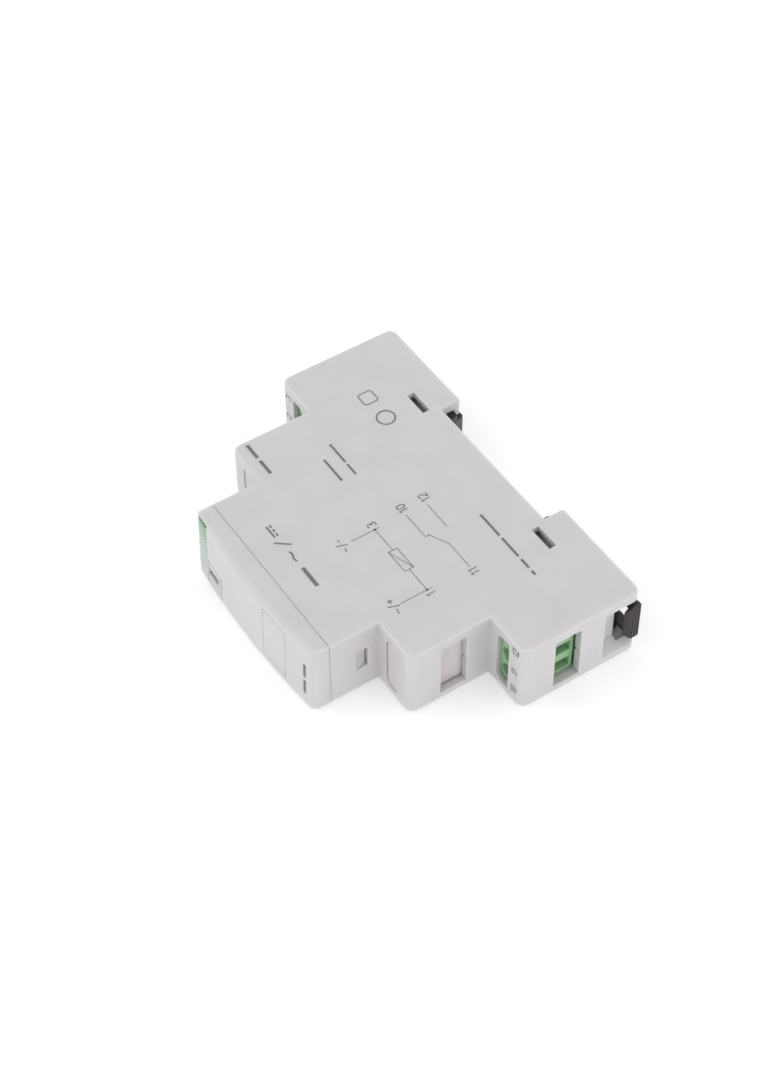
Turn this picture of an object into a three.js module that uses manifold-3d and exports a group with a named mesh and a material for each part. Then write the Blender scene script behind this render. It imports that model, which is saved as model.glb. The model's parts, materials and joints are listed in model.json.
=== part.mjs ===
// One-module interface relay for a 35 mm rail: housing, terminals, rail latches, circuit board and relay.
// Millimetres. Inside this file +X runs along the module to terminals 10 to 12, +Y from the front to the
// rail, and +Z across the module to the printed side. The last lines move the origin to the middle of
// the module's footprint.

import * as THREE from 'three';
import { mergeVertices } from 'three/addons/utils/BufferGeometryUtils.js';
import Module from 'manifold-3d';

const wasm = await Module();
wasm.setup();

// ---------------------------------------------------------------- driving dimensions

const WIDTH = 18; // one rail module
const MID_Z = WIDTH / 2;
const NOSE_HALF = 22.5; // half lengths of the three tiers
const MID_HALF = 33.75;
const BASE_HALF = 45;
const STEP_1 = 15.1; // nose to middle tier
const STEP_2 = 34.3; // middle tier to base
const BACK = 63.2;
const RECESS_HALF = 18.6; // recess that takes the rail
const RECESS_FLOOR = 58.3;
const CROWN = 1.7; // rise of the front cover's curved face at its middle
const CROWN_END = 0.45; // the same at the nose's ends
const CROWN_LEAN = 0.5; // how far the curved face leans back from the left side to the printed side
const SEAM = 3.7; // where the front cover ends
const SEAM_GAP = 0.15;
const FIT_GAP = 0.12; // around pieces that drop into the shell
const CORNER = 2.0; // outer corner radius seen from the side
const CROWN_CORNER = 1.8; // the same where the crowned face meets the nose's lower end
const LENS_CORNER = 0.8; // and its upper end, where the lens is

const SIDE_WALL = 1.5; // thickness of the two large sides
const NOSE_WALL = 1.5;
const MID_WALL = 1.6;
const BASE_WALL = 1.9;
const STEP_WALL = 1.3;
const FLOOR_WALL = 1.5; // between the cavity and the rail recess
const SHOULDER_Y = 52.6; // the cavity narrows here, beside the latch pockets
const SHOULDER_HALF = 40.4;
const CAVITY_END = RECESS_FLOOR - FLOOR_WALL;

const OPENING_Z = [1.7, 15.7]; // every opening for wires, screws and blanks has this height
const MID_SLOT_X = [25.2, 29.1];
const MID_END_Y = [22.5, 28.8];
const BASE_SLOT_X = [36.1, 40.2];
const BASE_END_Y = [42.2, 48.6];
const SLOT_ROUND = 1.9; // the slots' rounded inner corners

const HOOK_WINDOW_X = [19.7, 25.9]; // through the printed side, above the cover's hooks
const HOOK_WINDOW_Y = [54.3, 56.1];
const HOOK_ARM_Y = [53.7, 54.7];
const HOOK_LEDGE_Z = [12.4, 13.7];
const HOOK_BARB_Z = [13.9, 15.8];

const SNAP_HOLE_Y = [9.9, 12.7]; // in the nose's end walls, for the front cover's tongues
const SNAP_HOLE_Z = [6.05, 11.85];

const PITCH = 5; // terminal spacing
const POLES = [MID_Z - PITCH, MID_Z, MID_Z + PITCH];
const SCREW_X = 38.4;
const SCREW_HEAD_RADIUS = 1.85;
const SCREW_HEAD_Y = [37.0, 38.2];
const SCREW_SLOT_DEPTH = 0.7;
const SHANK_RADIUS = 1.2;
const SHANK_END_Y = 41.75;
const BLOCK_X = [35.3, BASE_HALF - BASE_WALL - 0.55];
const BLOCK_Y = [STEP_2 + STEP_WALL + 0.1, 50.2];
const BLOCK_Z = [1.7, 16.3];
const SHELF_Y = [38.3, 39.1]; // carries the screw heads
const CHAMBER_Y = [SHELF_Y[1], 49.7];
const CELL_Y = [42.6, 47.9];
const CELL_HALF = 1.5;
const CAGE_Y = [40.85, 49.25];
const CAGE_WALL = 0.9;
const CAGE_HALF_X = 2.05;
const CAGE_HALF_Z = 1.85;
const BAR_Y = [42.0, 42.8];

const LATCH_FLANGE_Y = [59.5, 61.5]; // T section that slides in each lobe
const LATCH_FLANGE_Z = [2.65, 15.35];
const LATCH_NECK_Z = [4.6, 13.4];
const LATCH_BACK = BACK + 0.3;
const LATCH_TIP = 16.8;
const LATCH_FLANGE_END = 40.4;
const LATCH_HEAD_X = [44.1, 45.0];
const LATCH_HEAD_Y = 60.0;
const LATCH_HEAD_Z = [3.6, 14.1];
const LATCH_HOLE_X = 38.4; // where the screwdriver hole starts
const LATCH_RAIL = 0.6; // side rails beside that hole
const LATCH_GAP = 0.25;
const POCKET_X = 41.9;
const HOOK_RELIEF = 0.3; // depth of the hollow in the recess's floor below each hook

const BOARD_Z = [2.4, 4.0];
const BOARD_TOP = BOARD_Z[1];
const PIN_END = 1.8; // solder pins stop short of the side cover
const LED_X = -15.0;
const LED_Z = 5.0;

const LENS_X = [-NOSE_HALF, -17.7];
const WINDOW_X = [-17.55, -11.9];
const WINDOW_TOP = 7.6;
const FRONT_BLANK_X = [5.3, 13.0];
const FRONT_BLANK_Z = [1.9, 15.6];
const LENS_THICK = 1.4;

const RELAY = { x: -14.3, y: 37.2, z: 4.2, length: 28.6, depth: 12.4, height: 12.1, wall: 0.55 };

const ORIGIN_Y = (LATCH_BACK - CROWN) / 2;

// ---------------------------------------------------------------- materials

function plastic(color, roughness, extra = {}) {
  return new THREE.MeshStandardMaterial({ color, roughness, metalness: 0, ...extra });
}

function metal(color, roughness) {
  return new THREE.MeshStandardMaterial({ color, roughness, metalness: 1 });
}

const SHELL_GREY = plastic(0xd0ced0, 0.55);
const BLANK_GREY = plastic(0xd0ccc9, 0.6);
const TERMINAL_GREEN = plastic(0x6fb47a, 0.45);
const LENS_GREEN = plastic(0x8fc7a5, 0.2, { transparent: true, opacity: 0.75 });
const CLEAR = plastic(0xdfe3df, 0.1, { transparent: true, opacity: 0.4 });
const LATCH_BLACK = plastic(0x2a2526, 0.5);
const BOARD_GREEN = plastic(0x2c6a3f, 0.5);
const BLACK_RESIN = plastic(0x1c1c1e, 0.5);
const RELAY_BLUE = plastic(0x3c4650, 0.4);
const BOBBIN_WHITE = plastic(0xe6e2d6, 0.5);
const LED_GREEN = plastic(0x4fbf5a, 0.2);
const VARISTOR_BLUE = plastic(0x2b5fa8, 0.4);
const STEEL = metal(0xb9b9b6, 0.35);
const BRASS = metal(0xc9a75a, 0.35);
const COPPER = metal(0xb87333, 0.4);
const ALUMINIUM = metal(0xc8cacc, 0.4);

// ---------------------------------------------------------------- solids

// A closed three.js geometry as a solid that can be cut and joined.
function solid(geometry) {
  const bare = geometry.index ? geometry.toNonIndexed() : geometry.clone();
  bare.deleteAttribute('normal');
  bare.deleteAttribute('uv');
  const merged = mergeVertices(bare, 1e-5);
  return new wasm.Manifold(new wasm.Mesh({
    numProp: 3,
    vertProperties: new Float32Array(merged.attributes.position.array),
    triVerts: new Uint32Array(merged.index.array),
  }));
}

// A solid as a three.js geometry again.
function geometryOf(body) {
  const mesh = body.getMesh();
  const geometry = new THREE.BufferGeometry();
  geometry.setAttribute('position', new THREE.BufferAttribute(mesh.vertProperties.slice(), 3));
  geometry.setIndex(new THREE.BufferAttribute(mesh.triVerts.slice(), 1));
  geometry.computeVertexNormals();
  return geometry;
}

// A box from the ranges that it spans; a range may be given in either order.
function block(xs, ys, zs) {
  const low = [Math.min(...xs), Math.min(...ys), Math.min(...zs)];
  const high = [Math.max(...xs), Math.max(...ys), Math.max(...zs)];
  const size = high.map((value, k) => value - low[k]);
  const geometry = new THREE.BoxGeometry(...size);
  geometry.translate(low[0] + size[0] / 2, low[1] + size[1] / 2, low[2] + size[2] / 2);
  return solid(geometry);
}

// A flat outline of [u, v] or [u, v, radius] corners, where a radius rounds its corner with an arc.
function outline(corners) {
  const shape = new THREE.Shape();
  corners.forEach((corner, k) => {
    const here = new THREE.Vector2(corner[0], corner[1]);
    const before = new THREE.Vector2(...corners.at(k - 1));
    const after = new THREE.Vector2(...corners[(k + 1) % corners.length]);
    const radius = corner[2] ?? 0;
    const back = before.sub(here).normalize();
    const ahead = after.sub(here).normalize();
    const reach = radius / Math.tan(back.angleTo(ahead) / 2);
    const start = here.clone().addScaledVector(back, reach);
    const end = here.clone().addScaledVector(ahead, reach);
    if (k === 0) shape.moveTo(start.x, start.y);
    else shape.lineTo(start.x, start.y);
    if (radius > 0) {
      const centre = back.add(ahead).normalize().multiplyScalar(Math.hypot(radius, reach)).add(here);
      const from = Math.atan2(start.y - centre.y, start.x - centre.x);
      const to = Math.atan2(end.y - centre.y, end.x - centre.x);
      const clockwise = ((to - from + 2 * Math.PI) % (2 * Math.PI)) > Math.PI;
      shape.absarc(centre.x, centre.y, radius, from, to, clockwise);
    }
  });
  return shape;
}

const TO_Z = new THREE.Matrix4();
const TO_X = new THREE.Matrix4().makeBasis(
  new THREE.Vector3(0, 1, 0), new THREE.Vector3(0, 0, 1), new THREE.Vector3(1, 0, 0));
const TO_MINUS_Y = new THREE.Matrix4().makeBasis(
  new THREE.Vector3(1, 0, 0), new THREE.Vector3(0, 0, 1), new THREE.Vector3(0, -1, 0));

function prism(corners, depth, turn, arcSteps) {
  const geometry = new THREE.ExtrudeGeometry(outline(corners), {
    depth, bevelEnabled: false, curveSegments: arcSteps,
  });
  return geometry.applyMatrix4(turn);
}

// Prisms named after the direction they are extruded in. Their corners are [x, y], [y, z] and [x, z].
function prismZ(corners, zs, arcSteps = 4) {
  return solid(prism(corners, zs[1] - zs[0], TO_Z, arcSteps).translate(0, 0, zs[0]));
}

function prismX(corners, xs, arcSteps = 4) {
  const low = Math.min(...xs);
  const depth = Math.abs(xs[1] - xs[0]);
  return solid(prism(corners, depth, TO_X, arcSteps).translate(low, 0, 0));
}

function prismY(corners, ys, arcSteps = 4) {
  return solid(prism(corners, ys[1] - ys[0], TO_MINUS_Y, arcSteps).translate(0, ys[1], 0));
}

function rod(axis, centre, radius, range, sides = 20) {
  const geometry = new THREE.CylinderGeometry(radius, radius, range[1] - range[0], sides);
  geometry.translate(0, (range[0] + range[1]) / 2, 0);
  if (axis === 'x') {
    geometry.rotateZ(-Math.PI / 2);
    geometry.translate(0, centre[0], centre[1]);
  } else if (axis === 'y') {
    geometry.translate(centre[0], 0, centre[1]);
  } else {
    geometry.rotateX(Math.PI / 2);
    geometry.translate(centre[0], centre[1], 0);
  }
  return solid(geometry);
}

// A box whose end at inner.x is smaller than its end at outer.x.
function funnel(outer, inner) {
  const geometry = new THREE.BoxGeometry(1, 1, 1);
  const position = geometry.attributes.position;
  const outerIsHigh = outer.x > inner.x;
  for (let k = 0; k < position.count; k += 1) {
    const end = (position.getX(k) > 0) === outerIsHigh ? outer : inner;
    const y = position.getY(k) > 0 ? end.y[1] : end.y[0];
    const z = position.getZ(k) > 0 ? end.z[1] : end.z[0];
    position.setXYZ(k, end.x, y, z);
  }
  return solid(geometry);
}

function joined(...bodies) {
  return bodies.reduce((sum, body) => sum.add(body));
}

function cut(body, ...tools) {
  return tools.reduce((rest, tool) => rest.subtract(tool), body);
}

const relay = new THREE.Group();

function addPiece(name, body, material, parent = relay) {
  const mesh = new THREE.Mesh(geometryOf(body), material);
  mesh.name = name;
  parent.add(mesh);
  return mesh;
}

const bothEnds = [-1, 1];

function atEnd(side, range) {
  return range.map((x) => side * x);
}

// Corners for the right half of an outline, with the mirrored left half added.
function mirrored(corners) {
  const left = corners.map(([x, ...rest]) => [-x, ...rest]).reverse();
  return [...corners, ...left];
}

// ---------------------------------------------------------------- housing

function shellOutline() {
  return mirrored([
    [RECESS_HALF, RECESS_FLOOR],
    [RECESS_HALF, BACK, 0.5],
    [BASE_HALF, BACK, CORNER],
    [BASE_HALF, STEP_2, CORNER],
    [MID_HALF, STEP_2],
    [MID_HALF, STEP_1, CORNER],
    [NOSE_HALF, STEP_1],
    [NOSE_HALF, SEAM + SEAM_GAP],
  ]);
}

function cavityOutline(inset, front) {
  return mirrored([
    [SHOULDER_HALF - inset, CAVITY_END - inset],
    [SHOULDER_HALF - inset, SHOULDER_Y - inset],
    [BASE_HALF - BASE_WALL - inset, SHOULDER_Y - inset],
    [BASE_HALF - BASE_WALL - inset, STEP_2 + STEP_WALL + inset],
    [MID_HALF - MID_WALL - inset, STEP_2 + STEP_WALL + inset],
    [MID_HALF - MID_WALL - inset, STEP_1 + STEP_WALL + inset],
    [NOSE_HALF - NOSE_WALL - inset, STEP_1 + STEP_WALL + inset],
    [NOSE_HALF - NOSE_WALL - inset, front],
  ]);
}

// A slot in a step face, straight on its outer side and rounded on its inner side.
function slotCorners(side, xs, grow, zs = OPENING_Z) {
  const low = zs[0] - grow;
  const high = zs[1] + grow;
  return [
    [side * (xs[1] + grow), low],
    [side * (xs[1] + grow), high],
    [side * (xs[0] - grow), high, SLOT_ROUND],
    [side * (xs[0] - grow), low, SLOT_ROUND],
  ];
}

// The T shaped way for a rail latch, its pocket in the end face and the relief below its hook.
function latchWay(side) {
  const flange = block(
    atEnd(side, [RECESS_HALF - 1, LATCH_FLANGE_END + 2.75]),
    [LATCH_FLANGE_Y[0] - LATCH_GAP, LATCH_FLANGE_Y[1] + LATCH_GAP],
    [LATCH_FLANGE_Z[0] - LATCH_GAP, LATCH_FLANGE_Z[1] + LATCH_GAP]);
  const neck = block(
    atEnd(side, [RECESS_HALF - 1, BASE_HALF + 1]),
    [LATCH_FLANGE_Y[1], BACK + 1],
    [LATCH_NECK_Z[0] - LATCH_GAP, LATCH_NECK_Z[1] + LATCH_GAP]);
  const pocket = funnel(
    { x: side * (BASE_HALF + 0.01), y: [54.4, BACK + 1], z: [1.9, 15.7] },
    { x: side * POCKET_X, y: [56.6, BACK + 1], z: [3.5, 14.8] });
  const relief = block(
    atEnd(side, [LATCH_TIP - HOOK_RELIEF, RECESS_HALF]),
    [RECESS_FLOOR - HOOK_RELIEF, RECESS_FLOOR + 1],
    [LATCH_FLANGE_Z[0] - LATCH_GAP, LATCH_FLANGE_Z[1] + LATCH_GAP]);
  return joined(flange, neck, pocket, relief);
}

function mainShell() {
  let shell = prismZ(shellOutline(), [0, WIDTH], 5);
  shell = cut(shell, prismZ(cavityOutline(0, 0), [-1, WIDTH - SIDE_WALL]));
  for (const side of bothEnds) {
    shell = cut(
      shell,
      latchWay(side),
      prismY(slotCorners(side, MID_SLOT_X, 0), [STEP_1 - 1, STEP_1 + STEP_WALL + 1]),
      prismY(slotCorners(side, BASE_SLOT_X, 0), [STEP_2 - 1, STEP_2 + STEP_WALL + 1]),
      block(atEnd(side, [MID_HALF - MID_WALL - 1, MID_HALF + 1]), MID_END_Y, OPENING_Z),
      block(atEnd(side, [BASE_HALF - BASE_WALL - 1, BASE_HALF + 1]), BASE_END_Y, OPENING_Z),
      block(atEnd(side, [NOSE_HALF - NOSE_WALL - 1, NOSE_HALF + 1]), SNAP_HOLE_Y, SNAP_HOLE_Z),
      block(atEnd(side, HOOK_WINDOW_X), HOOK_WINDOW_Y, [WIDTH - SIDE_WALL - 1, WIDTH + 1]));
    const ledge = block(
      atEnd(side, [HOOK_WINDOW_X[0] - 2.2, HOOK_WINDOW_X[1] + 2.2]),
      [HOOK_ARM_Y[1] + 0.3, CAVITY_END + 0.5], HOOK_LEDGE_Z);
    shell = shell.add(ledge);
  }
  return shell;
}

// The side cover drops into the open side of the shell. Two hooks reach up to the shell's ledges.
function sideCover() {
  let cover = prismZ(cavityOutline(FIT_GAP, SEAM + SEAM_GAP), [0, SIDE_WALL]);
  for (const side of bothEnds) {
    const hook = prismX([
      [HOOK_ARM_Y[0], SIDE_WALL - 0.5],
      [HOOK_ARM_Y[1], SIDE_WALL - 0.5],
      [HOOK_ARM_Y[1], HOOK_BARB_Z[0]],
      [HOOK_ARM_Y[1] + 1.2, HOOK_BARB_Z[0]],
      [HOOK_ARM_Y[1], HOOK_BARB_Z[1]],
      [HOOK_ARM_Y[0], HOOK_BARB_Z[1]],
    ], atEnd(side, [HOOK_WINDOW_X[0] + 0.4, HOOK_WINDOW_X[1] - 0.4]));
    cover = cover.add(hook);
  }
  return cover;
}

// Everything in front of a crowned face that rises from the nose's corners to its middle.
function crownBody(inset, depthEnd) {
  const half = NOSE_HALF - inset;
  const steps = 24;
  const corners = [];
  for (let k = 0; k <= steps; k += 1) {
    const x = half * ((2 * k) / steps - 1);
    const rise = CROWN_END + (CROWN - CROWN_END) * (1 - (x / NOSE_HALF) ** 2);
    corners.push([x, inset - rise]);
  }
  corners[0].push(Math.max(0, LENS_CORNER - inset));
  corners[steps].push(Math.max(0, CROWN_CORNER - inset));
  corners.push([half, depthEnd], [-half, depthEnd]);
  const long = prismZ(corners, [inset, WIDTH - inset], 5);
  const across = prismX([
    [inset - CROWN, inset, 0.6],
    [inset - CROWN, WIDTH - inset, CROWN],
    [depthEnd + 1, WIDTH - inset],
    [depthEnd + 1, inset],
  ], [-NOSE_HALF - 1, NOSE_HALF + 1], 5);
  return long.intersect(across).warp((vertex) => {
    if (vertex[1] < SEAM - 1) {
      vertex[1] += (CROWN_LEAN * vertex[2]) / WIDTH;
    }
  });
}

// The front cover's share of a window, cut from the crowned body so that it lies flush.
function crownPatch(corners, thickness) {
  const column = prismY(corners, [-CROWN - 1, LENS_THICK]);
  return crownBody(0, SEAM).intersect(column).subtract(crownBody(thickness, SEAM + 1));
}

function blankCorners(grow) {
  return [
    [FRONT_BLANK_X[0] - grow, FRONT_BLANK_Z[0] - grow, 1],
    [FRONT_BLANK_X[1] + grow, FRONT_BLANK_Z[0] - grow, 1],
    [FRONT_BLANK_X[1] + grow, FRONT_BLANK_Z[1] + grow, 1],
    [FRONT_BLANK_X[0] - grow, FRONT_BLANK_Z[1] + grow, 1],
  ];
}

function frontCover() {
  let cover = cut(crownBody(0, SEAM), crownBody(SIDE_WALL, SEAM + 1));
  const lensSeat = block(
    [LENS_X[0] - 1, LENS_X[1] + 0.05], [-CROWN - 1, LENS_THICK + 0.15], [0.6, WIDTH - 0.45]);
  const windowSeat = block(
    [WINDOW_X[0] - 0.2, WINDOW_X[1] + 0.1], [-CROWN - 1, LENS_THICK + 0.15], [-1, WINDOW_TOP + 0.1]);
  cover = cut(cover, lensSeat, windowSeat, prismY(blankCorners(0.1), [-CROWN - 1, SEAM - 1]));
  for (const side of bothEnds) {
    const tongue = block(
      atEnd(side, [19.6, NOSE_HALF - NOSE_WALL - 0.2]), [SEAM - 1.5, SNAP_HOLE_Y[1] - 0.3],
      [SNAP_HOLE_Z[0] + 0.25, SNAP_HOLE_Z[1] - 0.25]);
    const root = block(
      atEnd(side, [19.6, NOSE_HALF - 0.5]), [SEAM - 1.5, SEAM],
      [SNAP_HOLE_Z[0] + 0.25, SNAP_HOLE_Z[1] - 0.25]);
    const barb = prismZ([
      [side * 20.5, SNAP_HOLE_Y[0] + 0.1],
      [side * (NOSE_HALF - 0.06), SNAP_HOLE_Y[0] + 0.1],
      [side * (NOSE_HALF - 0.9), SNAP_HOLE_Y[1] - 0.3],
      [side * 20.5, SNAP_HOLE_Y[1] - 0.3],
    ], [SNAP_HOLE_Z[0] + 0.1, SNAP_HOLE_Z[1] - 0.1]);
    cover = cover.add(joined(tongue, root, barb));
  }
  return cover;
}

function indicatorLens() {
  return crownPatch([
    [LENS_X[0] - 1, 0.7],
    [LENS_X[1], 0.7],
    [LENS_X[1], WIDTH - 0.55],
    [LENS_X[0] - 1, WIDTH - 0.55],
  ], LENS_THICK);
}

function indicatorWindow() {
  return crownPatch([
    [WINDOW_X[0], -1],
    [WINDOW_X[1], -1],
    [WINDOW_X[1], WINDOW_TOP],
    [WINDOW_X[0], WINDOW_TOP],
  ], LENS_THICK);
}

function frontBlank() {
  return crownPatch(blankCorners(0), 1.2);
}

// A blank that fills the unused middle tier: a tray behind both openings, with a tongue in the slot.
function blankInsert(slotZ) {
  const end = MID_HALF - MID_WALL - 0.25;
  const tray = block([23.9, end], [STEP_1 + STEP_WALL + 0.1, 31.2], BLOCK_Z);
  const tongueX = [MID_SLOT_X[0] + 0.2, MID_SLOT_X[1]];
  const tongue = prismY(
    slotCorners(1, tongueX, -FIT_GAP, slotZ), [STEP_1 + 0.25, STEP_1 + STEP_WALL + 0.5]);
  const inside = block([22.9, end - 1.3], [STEP_1 + STEP_WALL + 1.4, 30], [3, 15]);
  return cut(joined(tray, tongue), inside);
}

// ---------------------------------------------------------------- terminals

function terminalBlock() {
  let body = block(BLOCK_X, BLOCK_Y, BLOCK_Z);
  for (const z of POLES) {
    body = cut(
      body,
      rod('y', [SCREW_X, z], SCREW_HEAD_RADIUS + 0.3, [BLOCK_Y[0] - 1, SHELF_Y[0]], 24),
      rod('y', [SCREW_X, z], SHANK_RADIUS + 0.25, [SHELF_Y[0] - 1, SHELF_Y[1] + 1], 16),
      block([SCREW_X - 2.3, SCREW_X + 2.4], CHAMBER_Y, [z - 2.1, z + 2.1]),
      block([SCREW_X, BLOCK_X[1] + 1], CELL_Y, [z - CELL_HALF, z + CELL_HALF]),
      block([BLOCK_X[0] - 1, SCREW_X], [BAR_Y[0] - 0.15, BAR_Y[1] + 0.15], [z - 1.3, z + 1.3]));
  }
  return body;
}

function terminalScrew(z) {
  const head = rod('y', [SCREW_X, z], SCREW_HEAD_RADIUS, SCREW_HEAD_Y, 24);
  const shank = rod('y', [SCREW_X, z], SHANK_RADIUS, [SCREW_HEAD_Y[0] + 1, SHANK_END_Y], 16);
  const slot = block(
    [SCREW_X - 3, SCREW_X + 3],
    [SCREW_HEAD_Y[0] - 1, SCREW_HEAD_Y[0] + SCREW_SLOT_DEPTH],
    [z - 0.3, z + 0.3]);
  return cut(joined(head, shank), slot);
}

// A rising cage: the screw draws it towards the front, and its far wall clamps the wire to the bar.
function clampCage(z) {
  const frame = block(
    [SCREW_X - CAGE_HALF_X, SCREW_X + CAGE_HALF_X], CAGE_Y, [z - CAGE_HALF_Z, z + CAGE_HALF_Z]);
  const mouth = block(
    [SCREW_X - 3, SCREW_X + 3], [CAGE_Y[0] + CAGE_WALL, CAGE_Y[1] - CAGE_WALL], [z - 1.35, z + 1.35]);
  const thread = rod('y', [SCREW_X, z], SHANK_RADIUS + 0.12, [CAGE_Y[0] - 1, CAGE_Y[0] + 2], 16);
  return cut(frame, mouth, thread);
}

// The fixed bar inside a cage and the leg that takes it down to the circuit board.
function contactBar(side, pole) {
  const z = POLES[pole];
  const legX = 33.2 - 1.7 * pole;
  const barZ = pole === 0 ? [z + 0.35, z + 1.15] : [z - 0.7, z + 0.7];
  const bar = block(atEnd(side, [legX, 40.4]), BAR_Y, barZ);
  const leg = block(atEnd(side, [legX, legX + 0.8]), BAR_Y, [PIN_END, barZ[1]]);
  return joined(bar, leg);
}

// ---------------------------------------------------------------- rail latch

// A T section that slides in its lobe, hooked at the rail's end and open at the other for a screwdriver.
function railLatch() {
  const flange = block([LATCH_TIP, LATCH_FLANGE_END], LATCH_FLANGE_Y, LATCH_FLANGE_Z);
  const neck = block(
    [LATCH_TIP, LATCH_HEAD_X[0] + 0.3], [LATCH_FLANGE_Y[1] - 0.5, LATCH_BACK], LATCH_NECK_Z);
  const head = prismX([
    [LATCH_HEAD_Y, LATCH_HEAD_Z[0] + 1.8],
    [LATCH_HEAD_Y, LATCH_HEAD_Z[1] - 1.8],
    [LATCH_HEAD_Y + 1.7, LATCH_HEAD_Z[1]],
    [LATCH_BACK, LATCH_HEAD_Z[1], 0.6],
    [LATCH_BACK, LATCH_HEAD_Z[0], 0.6],
    [LATCH_HEAD_Y + 1.7, LATCH_HEAD_Z[0]],
  ], LATCH_HEAD_X);
  const hole = block(
    [LATCH_HOLE_X, LATCH_HEAD_X[0]], [LATCH_FLANGE_Y[0] - 1, LATCH_BACK + 1],
    [LATCH_NECK_Z[0] + LATCH_RAIL, LATCH_NECK_Z[1] - LATCH_RAIL]);
  // The hook's slanted tip lets a rail push the latch aside.
  const ramp = prismZ([
    [LATCH_TIP - 1, 60.6],
    [LATCH_TIP, 60.6],
    [LATCH_TIP + 1.6, LATCH_BACK + 1],
    [LATCH_TIP - 1, LATCH_BACK + 1],
  ], [0, WIDTH]);
  const chamfer = prismZ([
    [LATCH_HEAD_X[1] + 0.1, LATCH_HEAD_Y - 0.1],
    [LATCH_HEAD_X[1] + 0.1, LATCH_HEAD_Y + 1.3],
    [LATCH_HEAD_X[1] - 0.75, LATCH_HEAD_Y - 0.1],
  ], [0, WIDTH]);
  return joined(cut(joined(flange, neck), hole, ramp), cut(head, chamfer));
}

// ---------------------------------------------------------------- circuit board

function circuitBoard() {
  const edge = mirrored([
    [34.4, 53.4, 1],
    [34.4, 36.2, 0.5],
    [23.4, 36.2],
    [23.4, 16.9],
    [19.2, 16.9],
    [19.2, 6.4, 0.5],
  ]);
  let board = prismZ(edge, BOARD_Z);
  const holes = [];
  for (const side of bothEnds) {
    for (const pole of [0, 1, 2]) {
      const x = side * (33.6 - 1.7 * pole);
      holes.push(block([x - 0.55, x + 0.55], [BAR_Y[0] - 0.15, BAR_Y[1] + 0.15], [0, 6]));
    }
  }
  for (const pin of relayPins()) {
    holes.push(block([pin.x[0] - 0.15, pin.x[1] + 0.15], [pin.y[0] - 0.15, pin.y[1] + 0.15], [0, 6]));
  }
  board = cut(board, ...holes);
  return board;
}

function statusLed() {
  const dome = new THREE.SphereGeometry(1.5, 16, 8).translate(LED_X, 2.6, LED_Z);
  const barrel = rod('y', [LED_X, LED_Z], 1.5, [2.6, 5.5], 16);
  const legs = [-0.9, 0.9].map((offset) => block(
    [LED_X + offset - 0.25, LED_X + offset + 0.25], [5.3, 9.2], [BOARD_TOP + 0.05, BOARD_TOP + 0.5]));
  return joined(solid(dome), barrel, ...legs);
}

// A surface-mount package with leads along its two long sides.
function leadedPackage(centre, size, leads, pitch) {
  const [x, y] = centre;
  const body = block(
    [x - size[0] / 2, x + size[0] / 2], [y - size[1] / 2, y + size[1] / 2],
    [BOARD_TOP + 0.15, BOARD_TOP + 0.15 + size[2]]);
  const feet = [];
  for (let k = 0; k < leads; k += 1) {
    const footX = x + pitch * (k - (leads - 1) / 2);
    feet.push(block(
      [footX - 0.4, footX + 0.4], [y - size[1] / 2 - 1, y + size[1] / 2 + 1],
      [BOARD_TOP + 0.03, BOARD_TOP + 0.4]));
  }
  return joined(body, ...feet);
}

function smoothingCapacitor() {
  const z = BOARD_TOP + 4.1;
  const can = rod('x', [24.5, z], 4, [-19.5, -8.5], 24);
  const legs = [-1.2, 1.2].map((offset) => block(
    [-8.8, -6.2], [24.5 + offset - 0.25, 24.5 + offset + 0.25], [z - 0.25, z + 0.25]));
  const feet = [-1.2, 1.2].map((offset) => block(
    [-6.6, -6.2], [24.5 + offset - 0.25, 24.5 + offset + 0.25], [BOARD_TOP + 0.05, z]));
  return joined(can, ...legs, ...feet);
}

function surgeVaristor() {
  const z = BOARD_TOP + 5;
  const disc = rod('x', [24.5, z], 3.6, [14, 17], 20);
  const legs = [-1.5, 1.5].map((offset) => block(
    [15.2, 15.8], [24.5 + offset - 0.3, 24.5 + offset + 0.3], [BOARD_TOP + 0.05, z - 2]));
  return joined(disc, ...legs);
}

// ---------------------------------------------------------------- relay

// A box in the relay's own frame: u along it, v across it, w up from the circuit board.
function relayBox(us, vs, ws) {
  return block(
    us.map((u) => RELAY.x + u), vs.map((v) => RELAY.y + v), ws.map((w) => RELAY.z + w));
}

function relayRod(radius, us, w, sides = 20) {
  return rod('x', [RELAY.y + COIL_V, RELAY.z + w], radius, us.map((u) => RELAY.x + u), sides);
}

// A bent strip: an outline of [u, w] corners, extruded across the relay.
function relayStrip(corners, vs) {
  const placed = corners.map(([u, w]) => [RELAY.x + u, RELAY.z + w]);
  return prismY(placed, vs.map((v) => RELAY.y + v));
}

const COIL_V = 6.2;
const COIL_W = 5.7;
const ARMATURE_AXIS = { u: 22.95, w: 11.0 };
const TONGUE_V = [5.2, 7.2]; // width of the blade and of the fixed contacts
const PIN_V = [5.8, 6.6];
const PIN_W = [PIN_END - RELAY.z, 1.4];
const YOKE_U = [5.5, 6.7];
const OPEN_U = [24.4, 24.8];
const CLOSED_U = [26.95, 27.35];
const COIL_PINS_V = [[2.2, 2.8], [9.6, 10.2]];
const COIL_PIN_U = [2.2, 2.8];

function relayPins() {
  const spans = [
    [YOKE_U, PIN_V], [OPEN_U, PIN_V], [CLOSED_U, PIN_V],
    ...COIL_PINS_V.map((v) => [COIL_PIN_U, v]),
  ];
  return spans.map(([u, v]) => ({ x: u.map((k) => RELAY.x + k), y: v.map((k) => RELAY.y + k) }));
}

function relayCover() {
  const { length, depth, height, wall } = RELAY;
  const outside = relayBox([0, length], [0, depth], [0.15, height]);
  const inside = relayBox([wall, length - wall], [wall, depth - wall], [-1, height - wall]);
  return cut(outside, inside);
}

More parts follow.
